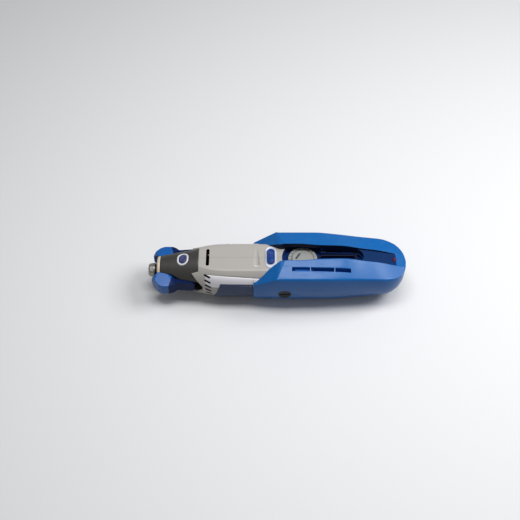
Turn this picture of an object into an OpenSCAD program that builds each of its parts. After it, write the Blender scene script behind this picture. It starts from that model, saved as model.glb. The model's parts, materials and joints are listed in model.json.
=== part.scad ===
// Corded rotary tool with a lever-released collet, a slide switch and a speed dial.
// The spindle axis runs along X, the nose points to -X, and the tool lies on z = 0.

/* [Nose] */
// Length from the face of the collet nut to the front of the housing
nose_l = 45.5; // [44.5:0.5:47]
// Outer radius of the nose at its rim
rim_r = 12.2; // [12:0.1:12.6]
// Distance of the rim ring behind the face of the collet nut
rim_setback = 8.2; // [7.8:0.1:8.6]
// Length of the rim ring along the axis
rim_l = 2.8; // [2.4:0.1:3.2]
// Outer radius of the nose grip where it meets the housing
grip_end_r = 19.3; // [19:0.1:19.5]
// Radius of the hollow in the nose core
core_bore_r = 9.5; // [9.4:0.1:9.8]
// Radius of the flange that seats the nose core in the housing
spigot_r = 17; // [16.6:0.1:17.2]
// Length of the nose core's flange
spigot_l = 4.3; // [4:0.1:4.6]

/* [Collet] */
// Shank radius that the collet takes
collet_bore_r = 1.6; // [1.2:0.1:1.75]
// Outer radius of the collet
collet_r = 2.5; // [2.3:0.1:2.7]
// Length of the collet
collet_l = 15; // [14:0.5:17]
// Largest radius of the collet nut
nut_r = 6.3; // [6.1:0.1:6.6]
// Length of the collet nut
nut_l = 9; // [8.5:0.5:10]
// Length of the nut's narrow collar
collar_l = 3; // [2.5:0.1:3.4]
// Outer radius of the drive spindle
spindle_r = 4.8; // [4.6:0.1:4.9]

/* [Release levers] */
// Travel of the levers towards the tail
lever_travel = 4.5; // [4:0.1:4.6]
// Distance of the lever tips behind the face of the collet nut
lever_tip = 3.6; // [3.2:0.1:4]
// Distance of the ears' outer sides from the axis
ear_out = 22.5; // [22:0.1:22.9]
// Half the height of the ears' outer sides
ear_edge_h = 5.4; // [5:0.1:6]
// Half the height of the ears where they leave the nose
ear_h = 8.6; // [8.2:0.1:9]
// Distance of the bands' outer sides from the axis
band_out = 18.3; // [18:0.1:19]
// Half the height of the bands
band_h = 5.5; // [5.2:0.1:5.8]

/* [Shaft lock] */
// Distance of the lock button behind the face of the collet nut
lock_at = 31.4; // [31:0.1:32]
// Length of the lock button along the axis
lock_l = 6.2; // [5.8:0.1:6.6]
// Width of the lock button across the nose
lock_w = 9; // [8.6:0.1:9.6]
// Width of the ring's band round the lock button
lock_band = 2.1; // [1.9:0.1:2.4]
// Travel of the lock button
lock_travel = 2.4; // [2:0.1:2.5]
// Radius of the lock pin
lock_pin_r = 1.8; // [1.6:0.1:2]

/* [Housing] */
// Outer radius of the motor housing
body_r = 23.3; // [23.1:0.1:23.6]
// Wall of the motor housing
body_wall = 2.2; // [2:0.1:2.4]
// Height of the flat top above the axis
top_h = 18.5; // [18.3:0.1:18.9]
// Length of the motor housing
body_l = 126.5; // [126:0.5:129]
// How far the flat under the grip lies below the round of the housing
grip_stand = 0.1; // [0:0.05:0.2]
// Thickness of the grip band
grip_t = 1.3; // [1.1:0.1:1.5]
// Width of the exhaust slot on top
slot_l = 18.5; // [17:0.5:20]

/* [Rear shells] */
// Length of the tail behind the motor housing
tail_l = 58; // [56:0.5:62]
// Height of the arms above the axis
crest_h = 26.5; // [26:0.1:27]
// How far each rear shell stands out beyond the side of the motor housing
rear_side = 4.65; // [4.3:0.05:5]
// Wall of the tail
tail_wall = 2.6; // [2.4:0.1:3]
// Half the width of the channel at the dial
channel_w = 9.3; // [9:0.1:9.6]
// Width of the air slots on the arms
arm_slot_w = 3.3; // [3:0.1:3.7]

/* [Switch and dial] */
// Length of the switch slider along the axis
slider_l = 6.9; // [6.6:0.1:7.4]
// Width of the switch slider across the tool
slider_w = 16.6; // [16:0.1:17.6]
// Travel of the switch towards the nose
switch_travel = 3.5; // [3:0.1:3.8]
// Radius of the speed dial
dial_r = 13; // [12.7:0.1:13.3]
// Height of the dial's face above the axis
dial_top = 16.9; // [16.6:0.1:17.2]
// Radius of the round well that the dial sits in
well_r = 18.4; // [18.1:0.1:18.6]

/* [Motor] */
// Outer radius of the field stator
stator_r = 20; // [19.6:0.1:20.2]
// Length of the field stator
stator_l = 30; // [28:0.5:30]
// Radius of the armature core
armature_r = 10.6; // [10.3:0.1:10.8]
// Radius of the armature shaft
shaft_r = 3; // [2.8:0.1:3.2]
// Radius of the fan
fan_r = 16; // [15:0.1:16.1]
// Number of fan blades
fan_blades = 9; // [7:1:11]
// Radius of the commutator
commutator_r = 7; // [6.8:0.1:7.2]
// Radius of the cord hole in the gland
cord_bore_r = 3.6; // [3.2:0.1:4]

/* [Hanger] */
// Reach of the hanger bail from its pivot
bail_l = 34; // [32:0.5:35]
// Radius of the hanger's pivot pins
bail_pin_r = 1.3; // [1.2:0.1:1.4]

/* [Hidden] */
$fn = 72;

gap = 0.3;      // between pieces that move past each other
seat = 0.05;    // between pieces that are fitted together
far = 60;       // past the outside of the tool

overall_l = nose_l + body_l + tail_l;
body_end = nose_l + body_l;
rest_d = body_r + grip_stand;
axis_h = rest_d;
rear_w = body_r + rear_side;
body_in = body_r - body_wall;
top_in = top_h - 2;

// Stations along the axis, from the face of the collet nut
rim_end = rim_setback + rim_l;
fan_at = nose_l + 12;
fan_l = 8.5;
baffle_at = fan_at + fan_l + 2;
stator_at = nose_l + 38.5;
stator_end = stator_at + stator_l;
commutator_at = stator_at + 33.3;
commutator_l = 9.7;
brush_at = commutator_at + 4.7;
rear_bearing_at = commutator_at + commutator_l + 2;
rear_bearing_l = 4.5;
dial_at = body_end - 34;
switch_at = body_end - 62.3;
arm_at = body_end - 77.7;
crest_at = arm_at + 23.4;
bail_at = body_end + 13.1;
bridge_at = body_end + 19.7;
narrow_at = body_end - 20.5;
slot_at = nose_l + 8.2;
front_bearing_l = 6;
front_bearing_r = core_bore_r;
front_bearing_at = nose_l - 1.7;
shaft_start = nose_l - 17;
shaft_end = rear_bearing_at + rear_bearing_l + 0.5;
gland_z = -4;
gland_r = cord_bore_r + 2.9;

// Moves into the axis frame: station along X, y across, z above the axis
module placed() { translate([-overall_l / 2, 0, axis_h]) children(); }

// Turns a profile of [station, radius] about the axis
module turned(profile) {
    placed() rotate([0, 90, 0]) rotate_extrude() polygon([for (p = profile) [p[1], p[0]]]);
}

// Tube along the axis
module tube(s0, s1, r_out, r_in) {
    turned([[s0, r_in], [s1, r_in], [s1, r_out], [s0, r_out]]);
}

// Solid bar along the axis
module bar(s0, s1, r) { placed() translate([s0, 0, 0]) rotate([0, 90, 0]) cylinder(h = s1 - s0, r = r); }

// Block between two corners, as [station, y, z]
module block(a, b) { placed() translate(a) cube(b - a); }

// Side view outline of [station, z], carried across the tool from y0 to y1
module across(outline, y0, y1) {
    placed() translate([0, y1, 0]) rotate([90, 0, 0]) linear_extrude(y1 - y0) polygon(outline);
}

// Plan view outline of [station, y], carried up from z0 to z1
module upright(outline, z0, z1) {
    placed() translate([0, 0, z0]) linear_extrude(z1 - z0) polygon(outline);
}

// Cross section outline of [y, z], carried along the axis
module along(outline, s0, s1) {
    placed() translate([s0, 0, 0]) rotate([90, 0, 90]) linear_extrude(s1 - s0) polygon(outline);
}

// Slot shape with round ends, w long in y and l wide in x
module stadium(l, w) {
    square([l, w - l], center = true);
    for (side = [-1, 1]) translate([0, side * (w - l) / 2]) circle(d = l);
}

// Upright stadium prism at a station
module stadium_block(s, l, w, z0, z1) {
    placed() translate([s, 0, z0]) linear_extrude(z1 - z0) stadium(l, w);
}

// Everything on one side of the joint line
module half(side) {
    block([-10, side > 0 ? 0 : -far, -far], [overall_l + 10, side > 0 ? far : 0, far]);
}

// Everything below a height
module below(h) { block([-10, -far, -far], [overall_l + 10, far, h]); }

// A mirrored pair of side views closes an outline that is symmetric about the axis
function mirrored(top) = concat(top, [for (i = [len(top) - 1 : -1 : 0]) [top[i][0], -top[i][1]]]);

// ---------------------------------------------------------------- housing

function body_profile(grow) = [
    [nose_l - 6.8, 0], [nose_l - 6.8, 19.4 + grow], [nose_l, 20.3 + grow], [nose_l + 6.5, body_r - 1.6 + grow],
    [nose_l + 15, body_r - 0.4 + grow], [nose_l + 25, body_r + grow], [body_end, body_r + grow], [body_end, 0]
];
grip_profile_front = nose_l - 6.8;

function grip_r_at(s) = rim_r + (grip_end_r - rim_r) * (s - rim_end) / (nose_l - rim_end);

cavity = [
    [nose_l + spigot_l, 0], [nose_l + spigot_l, spigot_r - 0.2], [nose_l + 7, body_in - 1.5],
    [nose_l + 14, body_in - 0.6], [nose_l + 22, body_in], [body_end + 1, body_in], [body_end + 1, 0]
];

// Where the levers run into the housing, seen from the side
notch_front = 14.5;
notch_end = 2.8;
// The housing's front reaches forward beside the grip, with slanted edges
tongue_near = 13.4;
tongue_far = 14.4;
notch = mirrored([[nose_l - 8, notch_front + 1], [nose_l - 6.8, notch_front], [nose_l + 3.5, notch_end]]);

screw_r = 1.45;
screw_head_r = 2.8;
// Station, height and seat of each screw's head
screws = [
    [nose_l + 28.3, 13.2, body_r - 9], [nose_l + 28.3, -13.2, body_r - 9], [brush_at, -14, body_r - 6.3],
    [body_end - 10, -16, body_r - 8], [overall_l - 20, 7.5, rear_w - 14.2], [overall_l - 22, -11.5, rear_w - 14.2]
];
body_screws = [for (i = [0 : 3]) screws[i]];
tail_screws = [screws[4], screws[5]];
boss_r = 3.6;

// Round bar across the tool
module cross_bar(s, z, y0, y1, r) {
    placed() translate([s, y0, z]) rotate([-90, 0, 0]) cylinder(h = y1 - y0, r = r);
}

module screw_holes(list, side) {
    for (p = list) {
        cross_bar(p[0], p[1], side > 0 ? -1 : -12.5, side > 0 ? far : 1, screw_r + seat);
        if (side > 0) cross_bar(p[0], p[1], p[2], far, screw_head_r + 0.25);
    }
}

// Space of the well: round at the dial, long behind it
module well(grow, z0, z1) {
    placed() translate([dial_at, 0, z0]) cylinder(h = z1 - z0, r = well_r + grow);
    well_channel(grow, z0, z1);
}

tray_z = dial_top - 3.7;
tray_t = 1.2;
tray_top = top_in - 0.2;
channel_rear_w = channel_w - 2.5;

// Half the width between the arms at a station
function channel_at(s) = lookup(s, [[dial_at, channel_w], [narrow_at, channel_w - 1.5],
                                    [bridge_at - channel_rear_w, channel_rear_w]]);
channel_stations = [dial_at, narrow_at, bridge_at - channel_rear_w];

module well_channel(grow, z0, z1) {
    placed() translate([0, 0, z0]) linear_extrude(z1 - z0) {
        polygon(concat([for (s = channel_stations) [s, channel_at(s) + grow]],
                       [for (i = [2 : -1 : 0]) [channel_stations[i], -channel_at(channel_stations[i]) - grow]]));
        translate([bridge_at - channel_rear_w, 0]) circle(r = channel_rear_w + grow);
    }
}

module exhaust_slots() {
    // one slot across the top, and a row of slanted ones down each side
    placed() translate([slot_at, 0, top_in - 6]) linear_extrude(12) stadium(2.9, slot_l);
    for (side = [-1, 1]) for (i = [0 : 4])
        placed() rotate([side * (52 + 13 * i), 0, 0]) translate([slot_at + 0.3 * i - 0.2, 0, 14])
            rotate([0, 0, side * 62]) linear_extrude(12) stadium(1.9, 6.2);
}

arm_slot_y = 17.2;
arm_slots = [[-44, -28.5], [-27.5, -7.3], [-6.3, 7.4]];

// The slots are on the left arm only
module arm_air_slots(z0) {
    for (run = arm_slots)
        block([body_end + run[0], -arm_slot_y - arm_slot_w / 2, z0],
              [body_end + run[1], -arm_slot_y + arm_slot_w / 2, far]);
}

module housing_half(side) {
    difference() {
        intersection() {
            union() {
                difference() {
                    intersection() { turned(body_profile(0)); below(top_h); }
                    intersection() { turned(cavity); below(top_in); }
                }
                intersection() {
                    union() {
                        // ribs that hold the stator, with room for the switch link
                        tube(stator_at + 2, stator_at + 6, body_in + 0.5, stator_r + seat);
                        difference() {
                            tube(stator_end - 6, stator_end - 2, body_in + 0.5, stator_r + seat);
                            block([stator_end - 7, -4.5, link_z - gap], [stator_end, link_y + link_w + gap, top_in]);
                        }
                        // wall round the rear bearing's boot
                        intersection() {
                            tube(rear_bearing_at, rear_bearing_at + rear_bearing_l, body_in + 0.5, 8.5 + seat);
                            below(6.5);
                        }
                        // shelf under the switch module
                        block([body_end - 18, -14, -14.3], [body_end - 4, 14, -12]);
                        block([body_end - 18, -2, -body_in - 0.5], [body_end - 4, 2, -12]);
                        for (p = body_screws) cross_bar(p[0], p[1], -body_in, body_in, boss_r);
                    }
                    union() { intersection() { turned(body_profile(-1)); below(top_in + 0.5); } }
                }
            }
            half(side);
        }
        // the stator's own space, and the nose that runs into the front
        intersection() {
            bar(stator_at, stator_end, stator_r + seat);
            below(15.2 + seat);
        }
        turned([[0, 0], [rim_end, rim_r + gap], [nose_l, grip_end_r + seat], [nose_l, 0]]);
        bar(nose_l - 1, nose_l + spigot_l + 0.1, spigot_r + seat);
        upright([[0, -tongue_far], [nose_l - 6.8, -tongue_far], [nose_l, -tongue_near],
                 [nose_l, tongue_near], [nose_l - 6.8, tongue_far], [0, tongue_far]], -far, far);
        across(notch, -far, far);
        exhaust_slots();
        // recess for the grip band
        grip_recess();
        // thumb recess in front of the switch
        thumb_recess();
        stadium_block(switch_at, surround_l, surround_w, top_h - 1.2 - seat, far);
        block([stem_at - switch_travel - 1, -4.4, top_in - 1], [stem_at + stem_l + 1, 4.4, far]);
        well(0, tray_z - tray_t - seat, far);
        arm_air_slots(tray_z - tray_t - 5);
        // brush holders pass through the wall
        for (s = [-1, 1]) block([brush_at - 4.1, s > 0 ? 15 : -far, -4.1], [brush_at + 4.1, s > 0 ? far : -15, 4.1]);
        screw_holes(body_screws, side);
    }
}

// Drop-shaped dish, deep and round at the left and running out to a tip at the right
module thumb_recess() {
    placed() translate([switch_at - 12.6, -7.5, top_h + 3]) rotate([-90, 0, 0]) rotate_extrude()
        polygon(concat([for (a = [0 : 15 : 90]) [4.15 * sin(a), -4.15 * cos(a)]], [[3, 19], [0, 19]]));
}

module housing_left() { color([0.70, 0.68, 0.66]) housing_half(-1); }
module housing_right() { color([0.70, 0.68, 0.66]) housing_half(1); }

// ---------------------------------------------------------------- grip band

grip_top = 8.4;
grip_start = nose_l + 13.5;

module grip_band(r_out, r_in, s0, s1, h) {
    intersection() {
        tube(s0, s1, r_out, r_in);
        across([[s0 + 6, h], [s0, -body_r / 2], [s0, -far], [s1, -far], [s1, h]], -far, far);
    }
}

module grip_recess() { grip_band(body_r + 2, body_r - grip_t + 0.4, grip_start, arm_at - seat, grip_top); }

module belly_grip() {
    color([0.10, 0.16, 0.32]) difference() {
        grip_band(body_r + 0.5, body_r - grip_t + 0.4 + seat, grip_start + seat, arm_at - 2 * seat, grip_top - seat);
        block([0, -far, -far], [overall_l, far, -rest_d]);
        screw_holes([screws[1]], 1);
    }
}

// ---------------------------------------------------------------- nose

// Stations where the ears' height starts to fall, and where the bands begin
ear_end = 17.2;
band_start = 24.5;

// Side view of the space that a lever sweeps
pocket = mirrored([
    [0, ear_h + gap], [ear_end + lever_travel + gap, ear_h + gap], [band_start + lever_travel + gap, band_h + gap],
    [nose_l + 1.5, band_h + gap]
]);

module pocket_space() {
    difference() {
        across(pocket, -far, far);
        bar(-1, overall_l, rim_r);
    }
}

yoke_at = 14.5;
yoke_l = 4;
spring_end = 26.8;

module nose_core() {
    color([0.16, 0.16, 0.17]) difference() {
        union() {
            tube(rim_end, nose_l + spigot_l, rim_r, 7.2);
            difference() {
                tube(nose_l, nose_l + spigot_l, spigot_r, rim_r - 0.1);
                pocket_space();
            }
        }
        bar(rim_end + 2, spring_end, core_bore_r);
        bar(spring_end + 1.6, front_bearing_at - 1, core_bore_r);
        bar(front_bearing_at - 2, front_bearing_at, 8);
        bar(front_bearing_at, nose_l + spigot_l + 1, front_bearing_r + seat);
        // slots for the yoke's arms
        block([yoke_at - gap, -far, -3.3], [yoke_at + yoke_l + lever_travel + gap, far, 3.3]);
        placed() translate([lock_at, 0, 0]) cylinder(h = far, r = lock_pin_r + 0.06);
        placed() translate([lock_at, 0, rim_r - 1.2]) cylinder(h = far, r = lock_pin_r + 1.5);
    }
}

module grip_cover() {
    difference() {
        turned([[rim_end, rim_r], [rim_end, rim_r + 0.4], [nose_l - seat, grip_end_r], [nose_l - seat, rim_r]]);
        pocket_space();
        lock_hole(lock_l + 0.6, lock_w + 0.6, 0);
        lock_hole(lock_l + 2 * lock_band, lock_w + 2 * lock_band, 14);
    }
}

module nose_grip_top() {
    color([0.22, 0.21, 0.21]) difference() { grip_cover(); below(0); }
}

module nose_grip_bottom() {
    color([0.22, 0.21, 0.21]) intersection() { grip_cover(); below(0); }
}

module lock_hole(l, w, z0) { stadium_block(lock_at, l, w, z0, far); }

module nose_rim() {
    color([0.80, 0.76, 0.68]) turned([
        [rim_setback, 8], [rim_setback, rim_r - 0.8], [rim_setback + 0.8, rim_r],
        [rim_end, rim_r], [rim_end, 8]
    ]);
}

module lock_button_ring() {
    color([0.86, 0.87, 0.88]) difference() {
        stadium_block(lock_at, lock_l + 2 * lock_band - 2 * seat, lock_w + 2 * lock_band - 2 * seat, 14 + seat, 16.6);
        lock_hole(lock_l + 0.6, lock_w + 0.6, 0);
    }
}

// ---------------------------------------------------------------- rear shells

// Half width and heights of the rear shells at a station
tail_at = overall_l - 25;
tip_top = 12;
tip_bottom = 2;
bevel_start = arm_at + 20.5;
bevel_end = arm_at + 27.9;
function tail_share(s, n) = pow(max(0.0001, 1 - pow(max(0, s - tail_at) / (overall_l - tail_at), n)), 1 / n);
function side_w(s) = lookup(s, [
    [arm_at, body_r + 1.6], [bevel_start, rear_w], [body_end - 18.5, rear_w],
    [body_end - 1.5, rear_w - 1.1], [body_end + 16.5, rear_w - 2.6], [tail_at, rear_w - 3.6]
]) * tail_share(s, 2.2);
function crest_z(s) = lookup(s, [
    [arm_at, 9.6], [crest_at, crest_h - 1], [bevel_end, crest_h], [body_end + 1.5, crest_h - 0.2],
    [body_end + 11.5, crest_h - 2], [bridge_at, crest_h - 4], [tail_at, crest_h - 6.3], [tail_at + 9, crest_h - 9.1],
    [tail_at + 17, crest_h - 11.7], [overall_l, tip_top + 0.4]
]);
function corner_z(s) = lookup(s, [
    [arm_at, 9.2], [bevel_start, 21], [body_end - 18.5, 21], [bridge_at, 17.8], [tail_at, 16.7],
    [tail_at + 9, 15.4], [tail_at + 17, 13.4], [overall_l, tip_top]
]);
function belly_z(s) = tip_bottom + (lookup(s, [
    [body_end, -rest_d], [body_end + 16.5, 1.6 - rest_d], [tail_at, 3.9 - rest_d]
]) - tip_bottom) * tail_share(s, 2);
function crest_w(s) = min(side_w(s) * 0.6, lookup(s, [
    [arm_at, 22.3], [arm_at + 10.7, 16.6], [arm_at + 13.7, 14], [crest_at, channel_w + 0.5],
    [dial_at, channel_w + 0.5], [narrow_at, channel_w - 1], [bridge_at, channel_rear_w + 0.5], [overall_l, channel_rear_w]
]));
// How far the bevel at the front of the arm has run out into the crest
function bevel_run(s) = min(0.96, max(0.04, (s - bevel_start) / (bevel_end - bevel_start)));
function bevel_z(s) = s > bevel_start && s < bevel_end ? crest_h : crest_z(s);

// Outline of the flank: share of the half width, and share of the way down from the corner to the belly
flank = [[0.40, 1], [0.68, 0.89], [0.885, 0.68], [0.98, 0.46], [1, 0.19], [0.967, 0]];

// Half section at a station, from the bottom round the side to the top
function rear_section(s) = let (w = side_w(s), k = corner_z(s), b = belly_z(s), m = bevel_run(s)) concat(
    [[0, b]],
    [for (p = flank) [p[0] * w, k + (b - k) * p[1]]],
    [[0.967 * w + (crest_w(s) - 0.967 * w) * m, k + (bevel_z(s) - k) * m], [crest_w(s), crest_z(s)], [0, crest_z(s)]]
);
cavity_top = 9.8;
function inner_section(s) = let (w = side_w(s), k = corner_z(s), b = belly_z(s)) concat(
    [[0, b + tail_wall]],
    [for (p = flank) [p[0] * w - tail_wall, min(cavity_top, k + (b - k) * p[1] + tail_wall * (2 * p[1] - 1))]],
    [[0, min(cavity_top, k - tail_wall)]]
);

// Skins a list of half sections, each with the same number of points
module loft(stations, sections) {
    n = len(sections[0]);
    m = len(stations);
    placed() polyhedron(
        points = [for (i = [0 : m - 1]) for (p = sections[i]) [stations[i], p[0], p[1]]],
        faces = concat(
            [[for (j = [0 : n - 1]) j]],
            [[for (j = [n - 1 : -1 : 0]) (m - 1) * n + j]],
            [for (i = [0 : m - 2]) for (j = [0 : n - 1]) let (q = (j + 1) % n)
                each [[i * n + j, (i + 1) * n + j, (i + 1) * n + q], [i * n + j, (i + 1) * n + q, i * n + q]]]
        )
    );
}

rear_stations = concat(
    [arm_at, arm_at + 10.7, arm_at + 13.7, bevel_start, crest_at, bevel_end, dial_at, narrow_at,
     body_end - 1.5, body_end + 11.5, bridge_at],
    [for (share = [0, 0.18, 0.36, 0.52, 0.68, 0.8, 0.89, 0.95, 0.985, 1]) tail_at + share * (overall_l - tail_at)]
);
inner_stations = [for (s = rear_stations) if (s > body_end + 1 && s < overall_l - 7) s];

module rear_shell_half() {
    difference() {
        union() {
            difference() {
                loft(rear_stations, [for (s = rear_stations) rear_section(s)]);
                loft(concat([body_end], inner_stations), [for (s = concat([body_end], inner_stations)) inner_section(s)]);
            }
            // ledge under the circuit board
            block([body_end + 4, 11, 1.6], [body_end + 32, side_w(tail_at) - 1.5, 3.2]);
            for (p = tail_screws) cross_bar(p[0], p[1], 0, 14.5, boss_r);
        }
        // seat on the motor housing
        intersection() { bar(arm_at - 5, body_end + seat, body_r + seat); below(top_h + seat); }
        // open between the arms
        upright([[arm_at - 1, -1], [dial_at, -1], [dial_at, channel_w], [crest_at, channel_w],
                 [arm_at + 13.7, 13.7], [arm_at + 10.7, 16.3], [arm_at - 1, 24]], top_h - seat, far);
        well_channel(0, tray_z - tray_t - seat, far);
        placed() translate([dial_at, 0, tray_z - tray_t - seat]) cylinder(h = top_h + 2.8 - tray_z + tray_t, r = well_r);
        bridge_groove();
        // lamp, cord gland, brush cap and hanger pivot
        lamp_space(seat);
        placed() translate([overall_l - 20, 0, gland_z]) rotate([0, 90, 0]) cylinder(h = 30, r = gland_r + seat);
        cross_bar(brush_at, 0, 0, far, cap_r + seat);
        cross_bar(bail_at, bail_z, 0, channel_rear_w + 4.5, bail_pin_r + 0.06);
    }
}

// Shallow groove over the bridge between the well and the tail
module bridge_groove() {
    across([[bridge_at - 8, crest_z(bridge_at) - 2.2], [bridge_at, crest_z(bridge_at) - 2.2],
            [tail_at, crest_z(tail_at) - 2.2], [tail_at + 9, crest_z(tail_at + 9) - 1.8],
            [tail_at + 17, crest_z(tail_at + 17) + 0.2], [tail_at + 17, far], [bridge_at - 8, far]], -1, channel_rear_w);
}

lamp_at = tail_at + 14.5;
lamp_r = 1.9;
lamp_top = 16;

module lamp_space(grow) {
    placed() translate([lamp_at, 0, lamp_top - 3]) cylinder(h = 3 + (grow > 0 ? far : 0), r = lamp_r + grow);
}

module power_lamp() { color([0.35, 0.05, 0.10]) lamp_space(0); }

module rear_shell(side) {
    difference() {
        mirror([0, side > 0 ? 0 : 1, 0]) rear_shell_half();
        if (side < 0) arm_air_slots(tray_z);
        screw_holes([screws[2], screws[3]], side);
        screw_holes(tail_screws, side);
    }
}

module rear_shell_left() { color([0.16, 0.42, 0.78]) rear_shell(-1); }
module rear_shell_right() { color([0.16, 0.42, 0.78]) rear_shell(1); }

// ---------------------------------------------------------------- switch and dial

surround_top = top_h + 0.5;
surround_l = slider_l + 3.1;
surround_w = slider_w + 7.4;
// the slider's stem stands near its rear, so that its head covers the slot at rest
stem_l = 2.2;
stem_at = switch_at + slider_l / 2 - stem_l - 0.4;

module switch_surround() {
    color([0.84, 0.83, 0.86]) difference() {
        stadium_block(switch_at, surround_l - 2 * seat, surround_w - 2 * seat, top_h - 1.2, surround_top);
        block([stem_at - switch_travel - gap, -3.6, 0], [stem_at + stem_l + gap, 3.6, far]);
    }
}

module switch_slider() {
    color([0.10, 0.30, 0.62]) {
        stadium_block(switch_at, slider_l, slider_w, surround_top + gap, surround_top + 1.9);
        block([stem_at, -3, link_top], [stem_at + stem_l, 3, surround_top + gap + 0.1]);
    }
}

link_z = 15.4;
link_top = top_in - 0.12;
link_y = 10.3;
link_w = 2.3;
drop_at = stator_end + 6.3;
bar_z = 9.8;
finger_at = body_end - 15;

module switch_link() {
    color([0.85, 0.85, 0.82]) {
        // plate under the top skin, a drop behind the motor and a bar to the switch
        block([switch_at - 4, -4, link_z], [stator_end - 4, link_y + link_w, link_top]);
        block([stator_end - 4.1, link_y, link_z], [drop_at + 2, link_y + link_w, link_top]);
        block([drop_at, link_y, bar_z], [drop_at + 2, link_y + link_w, link_z + 0.1]);
        block([drop_at, link_y, bar_z], [finger_at + 2, link_y + link_w, bar_z + 1.6]);
        block([finger_at, link_y, 6.5], [finger_at + 2, link_y + link_w, bar_z + 0.1]);
    }
}

module switch_module() {
    color([0.12, 0.12, 0.13]) difference() {
        union() {
            block([body_end - 21, -9, -12], [body_end - 1, 14.5, 6]);
            block([body_end - 20.5, 8.5, 5.9], [body_end - 9, 14.5, 8.4]);
        }
        // slot for the link's finger, and terminals
        block([finger_at - switch_travel - gap, link_y - gap, 6.2], [finger_at + 2 + gap, link_y + link_w + gap, far]);
        for (i = [0 : 2]) block([body_end - 2.5, -6 + 6 * i, -9], [body_end, -3 + 6 * i, -5]);
    }
}

dial_t = 2.8;
knob_r = 9.4;
pot_r = 6.5;

module speed_dial() {
    color([0.66, 0.68, 0.68]) difference() {
        union() {
            placed() translate([dial_at, 0, dial_top - dial_t]) cylinder(h = dial_t - 0.9, r = dial_r);
            placed() translate([dial_at, 0, dial_top - 1]) cylinder(h = 1, r = knob_r);
            placed() translate([dial_at, 0, tray_z - 4]) cylinder(h = dial_top - dial_t - tray_z + 4.1, r = 2.4);
            // finger ridges round the rim
            for (a = [0 : 18 : 342]) placed() translate([dial_at, 0, dial_top - dial_t])
                rotate([0, 0, a]) translate([dial_r - 2.4, -0.6, 0]) cube([2.2, 1.2, dial_t]);
        }
        pointer_space(0.02);
    }
}

module pointer_space(grow) {
    placed() translate([dial_at, 0, dial_top - 0.6 - grow]) rotate([0, 0, 147])
        translate([4.1 - grow, -3.5 - grow, 0]) cube([1.6 + 2 * grow, 7 + 2 * grow, 1 + grow]);
}

module dial_pointer() {
    color([0.12, 0.22, 0.22]) intersection() {
        pointer_space(0);
        block([0, -far, 0], [overall_l, far, dial_top + 0.15]);
    }
}

module speed_control() {
    color([0.15, 0.35, 0.20]) difference() {
        placed() translate([dial_at, 0, tray_z - 4.3]) cylinder(h = 4.3 - tray_t, r = pot_r);
        placed() translate([dial_at, 0, 0]) cylinder(h = far, r = 2.4 + 0.08);
    }
}

module well_floor() {
    color([0.05, 0.05, 0.07]) difference() {
        well(-seat, tray_z - tray_t, tray_top);
        well(-1.2, tray_z, far);
        placed() translate([dial_at, 0, 0]) cylinder(h = far, r = 2.4 + gap);
        cross_bar(bail_at, bail_z, -far, far, bail_pin_r + 0.06);
        arm_air_slots(0);
    }
}

// ---------------------------------------------------------------- hanger

bail_z = 15.6;
bail_t = 2.2;
bail_w = 2 * channel_rear_w - 3.6;
bail_leg = 2;

module hanger_bail() {
    color([0.06, 0.07, 0.10]) {
        difference() {
            union() {
                block([bail_at - bail_l + bail_w / 2, -bail_w / 2, bail_z - bail_t / 2],
                      [bail_at, bail_w / 2, bail_z + bail_t / 2]);
                placed() translate([bail_at - bail_l + bail_w / 2, 0, bail_z - bail_t / 2])
                    cylinder(h = bail_t, r = bail_w / 2);
                cross_bar(bail_at, bail_z, -bail_w / 2, bail_w / 2, bail_t / 2 + 0.5);
            }
            block([bail_at - bail_l + bail_w / 2, bail_leg - bail_w / 2, 0], [bail_at + 4, bail_w / 2 - bail_leg, far]);
            placed() translate([bail_at - bail_l + bail_w / 2, 0, 0]) cylinder(h = far, r = bail_w / 2 - bail_leg);
        }
        for (side = [-1, 1]) cross_bar(bail_at, bail_z, side > 0 ? bail_w / 2 - 1 : -channel_rear_w - 4,
                                       side > 0 ? channel_rear_w + 4 : 1 - bail_w / 2, bail_pin_r);
    }
}

// ---------------------------------------------------------------- motor

module front_bearing() {
    color([0.75, 0.76, 0.78]) difference() {
        tube(front_bearing_at, front_bearing_at + front_bearing_l, front_bearing_r, shaft_r + 0.02);
        for (s = [front_bearing_at - 1, front_bearing_at + front_bearing_l - 0.8])
            tube(s, s + 1.8, front_bearing_r - 1.6, shaft_r + 1.8);
    }
}

module rear_bearing() {
    color([0.75, 0.76, 0.78]) difference() {
        tube(rear_bearing_at, rear_bearing_at + rear_bearing_l, 6.5, shaft_r + 0.02);
        tube(rear_bearing_at - 1, rear_bearing_at + 0.8, 5.2, shaft_r + 1.4);
    }
}

module bearing_boot() {
    color([0.10, 0.10, 0.10]) difference() {
        bar(rear_bearing_at, rear_bearing_at + rear_bearing_l + 2, 8.5);
        bar(rear_bearing_at - 1, rear_bearing_at + rear_bearing_l, 6.5 + 0.02);
        bar(0, shaft_end + gap, shaft_r + 1);
    }
}

// Round sector about the axis between two angles from +Y
module sector(s0, s1, r_out, r_in, a0, a1) {
    placed() translate([s0, 0, 0]) rotate([90, 0, 90]) linear_extrude(s1 - s0)
        polygon(concat([for (i = [0 : 8]) let (a = a0 + (a1 - a0) * i / 8) r_out * [cos(a), sin(a)]],
                       [for (i = [8 : -1 : 0]) let (a = a0 + (a1 - a0) * i / 8) r_in * [cos(a), sin(a)]]));
}

coil_out = 15;
coil_in = 12.9;

module field_stator() {
    color([0.45, 0.46, 0.48]) difference() {
        intersection() {
            tube(stator_at, stator_end, stator_r, armature_r + 0.6);
            block([0, -far, -15.2], [overall_l, far, 15.2]);
        }
        for (turn = [0, 180]) sector(stator_at - 1, stator_end + 1, coil_out + 0.3, coil_in - 0.3, turn - 48, turn + 48);
    }
}

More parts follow.
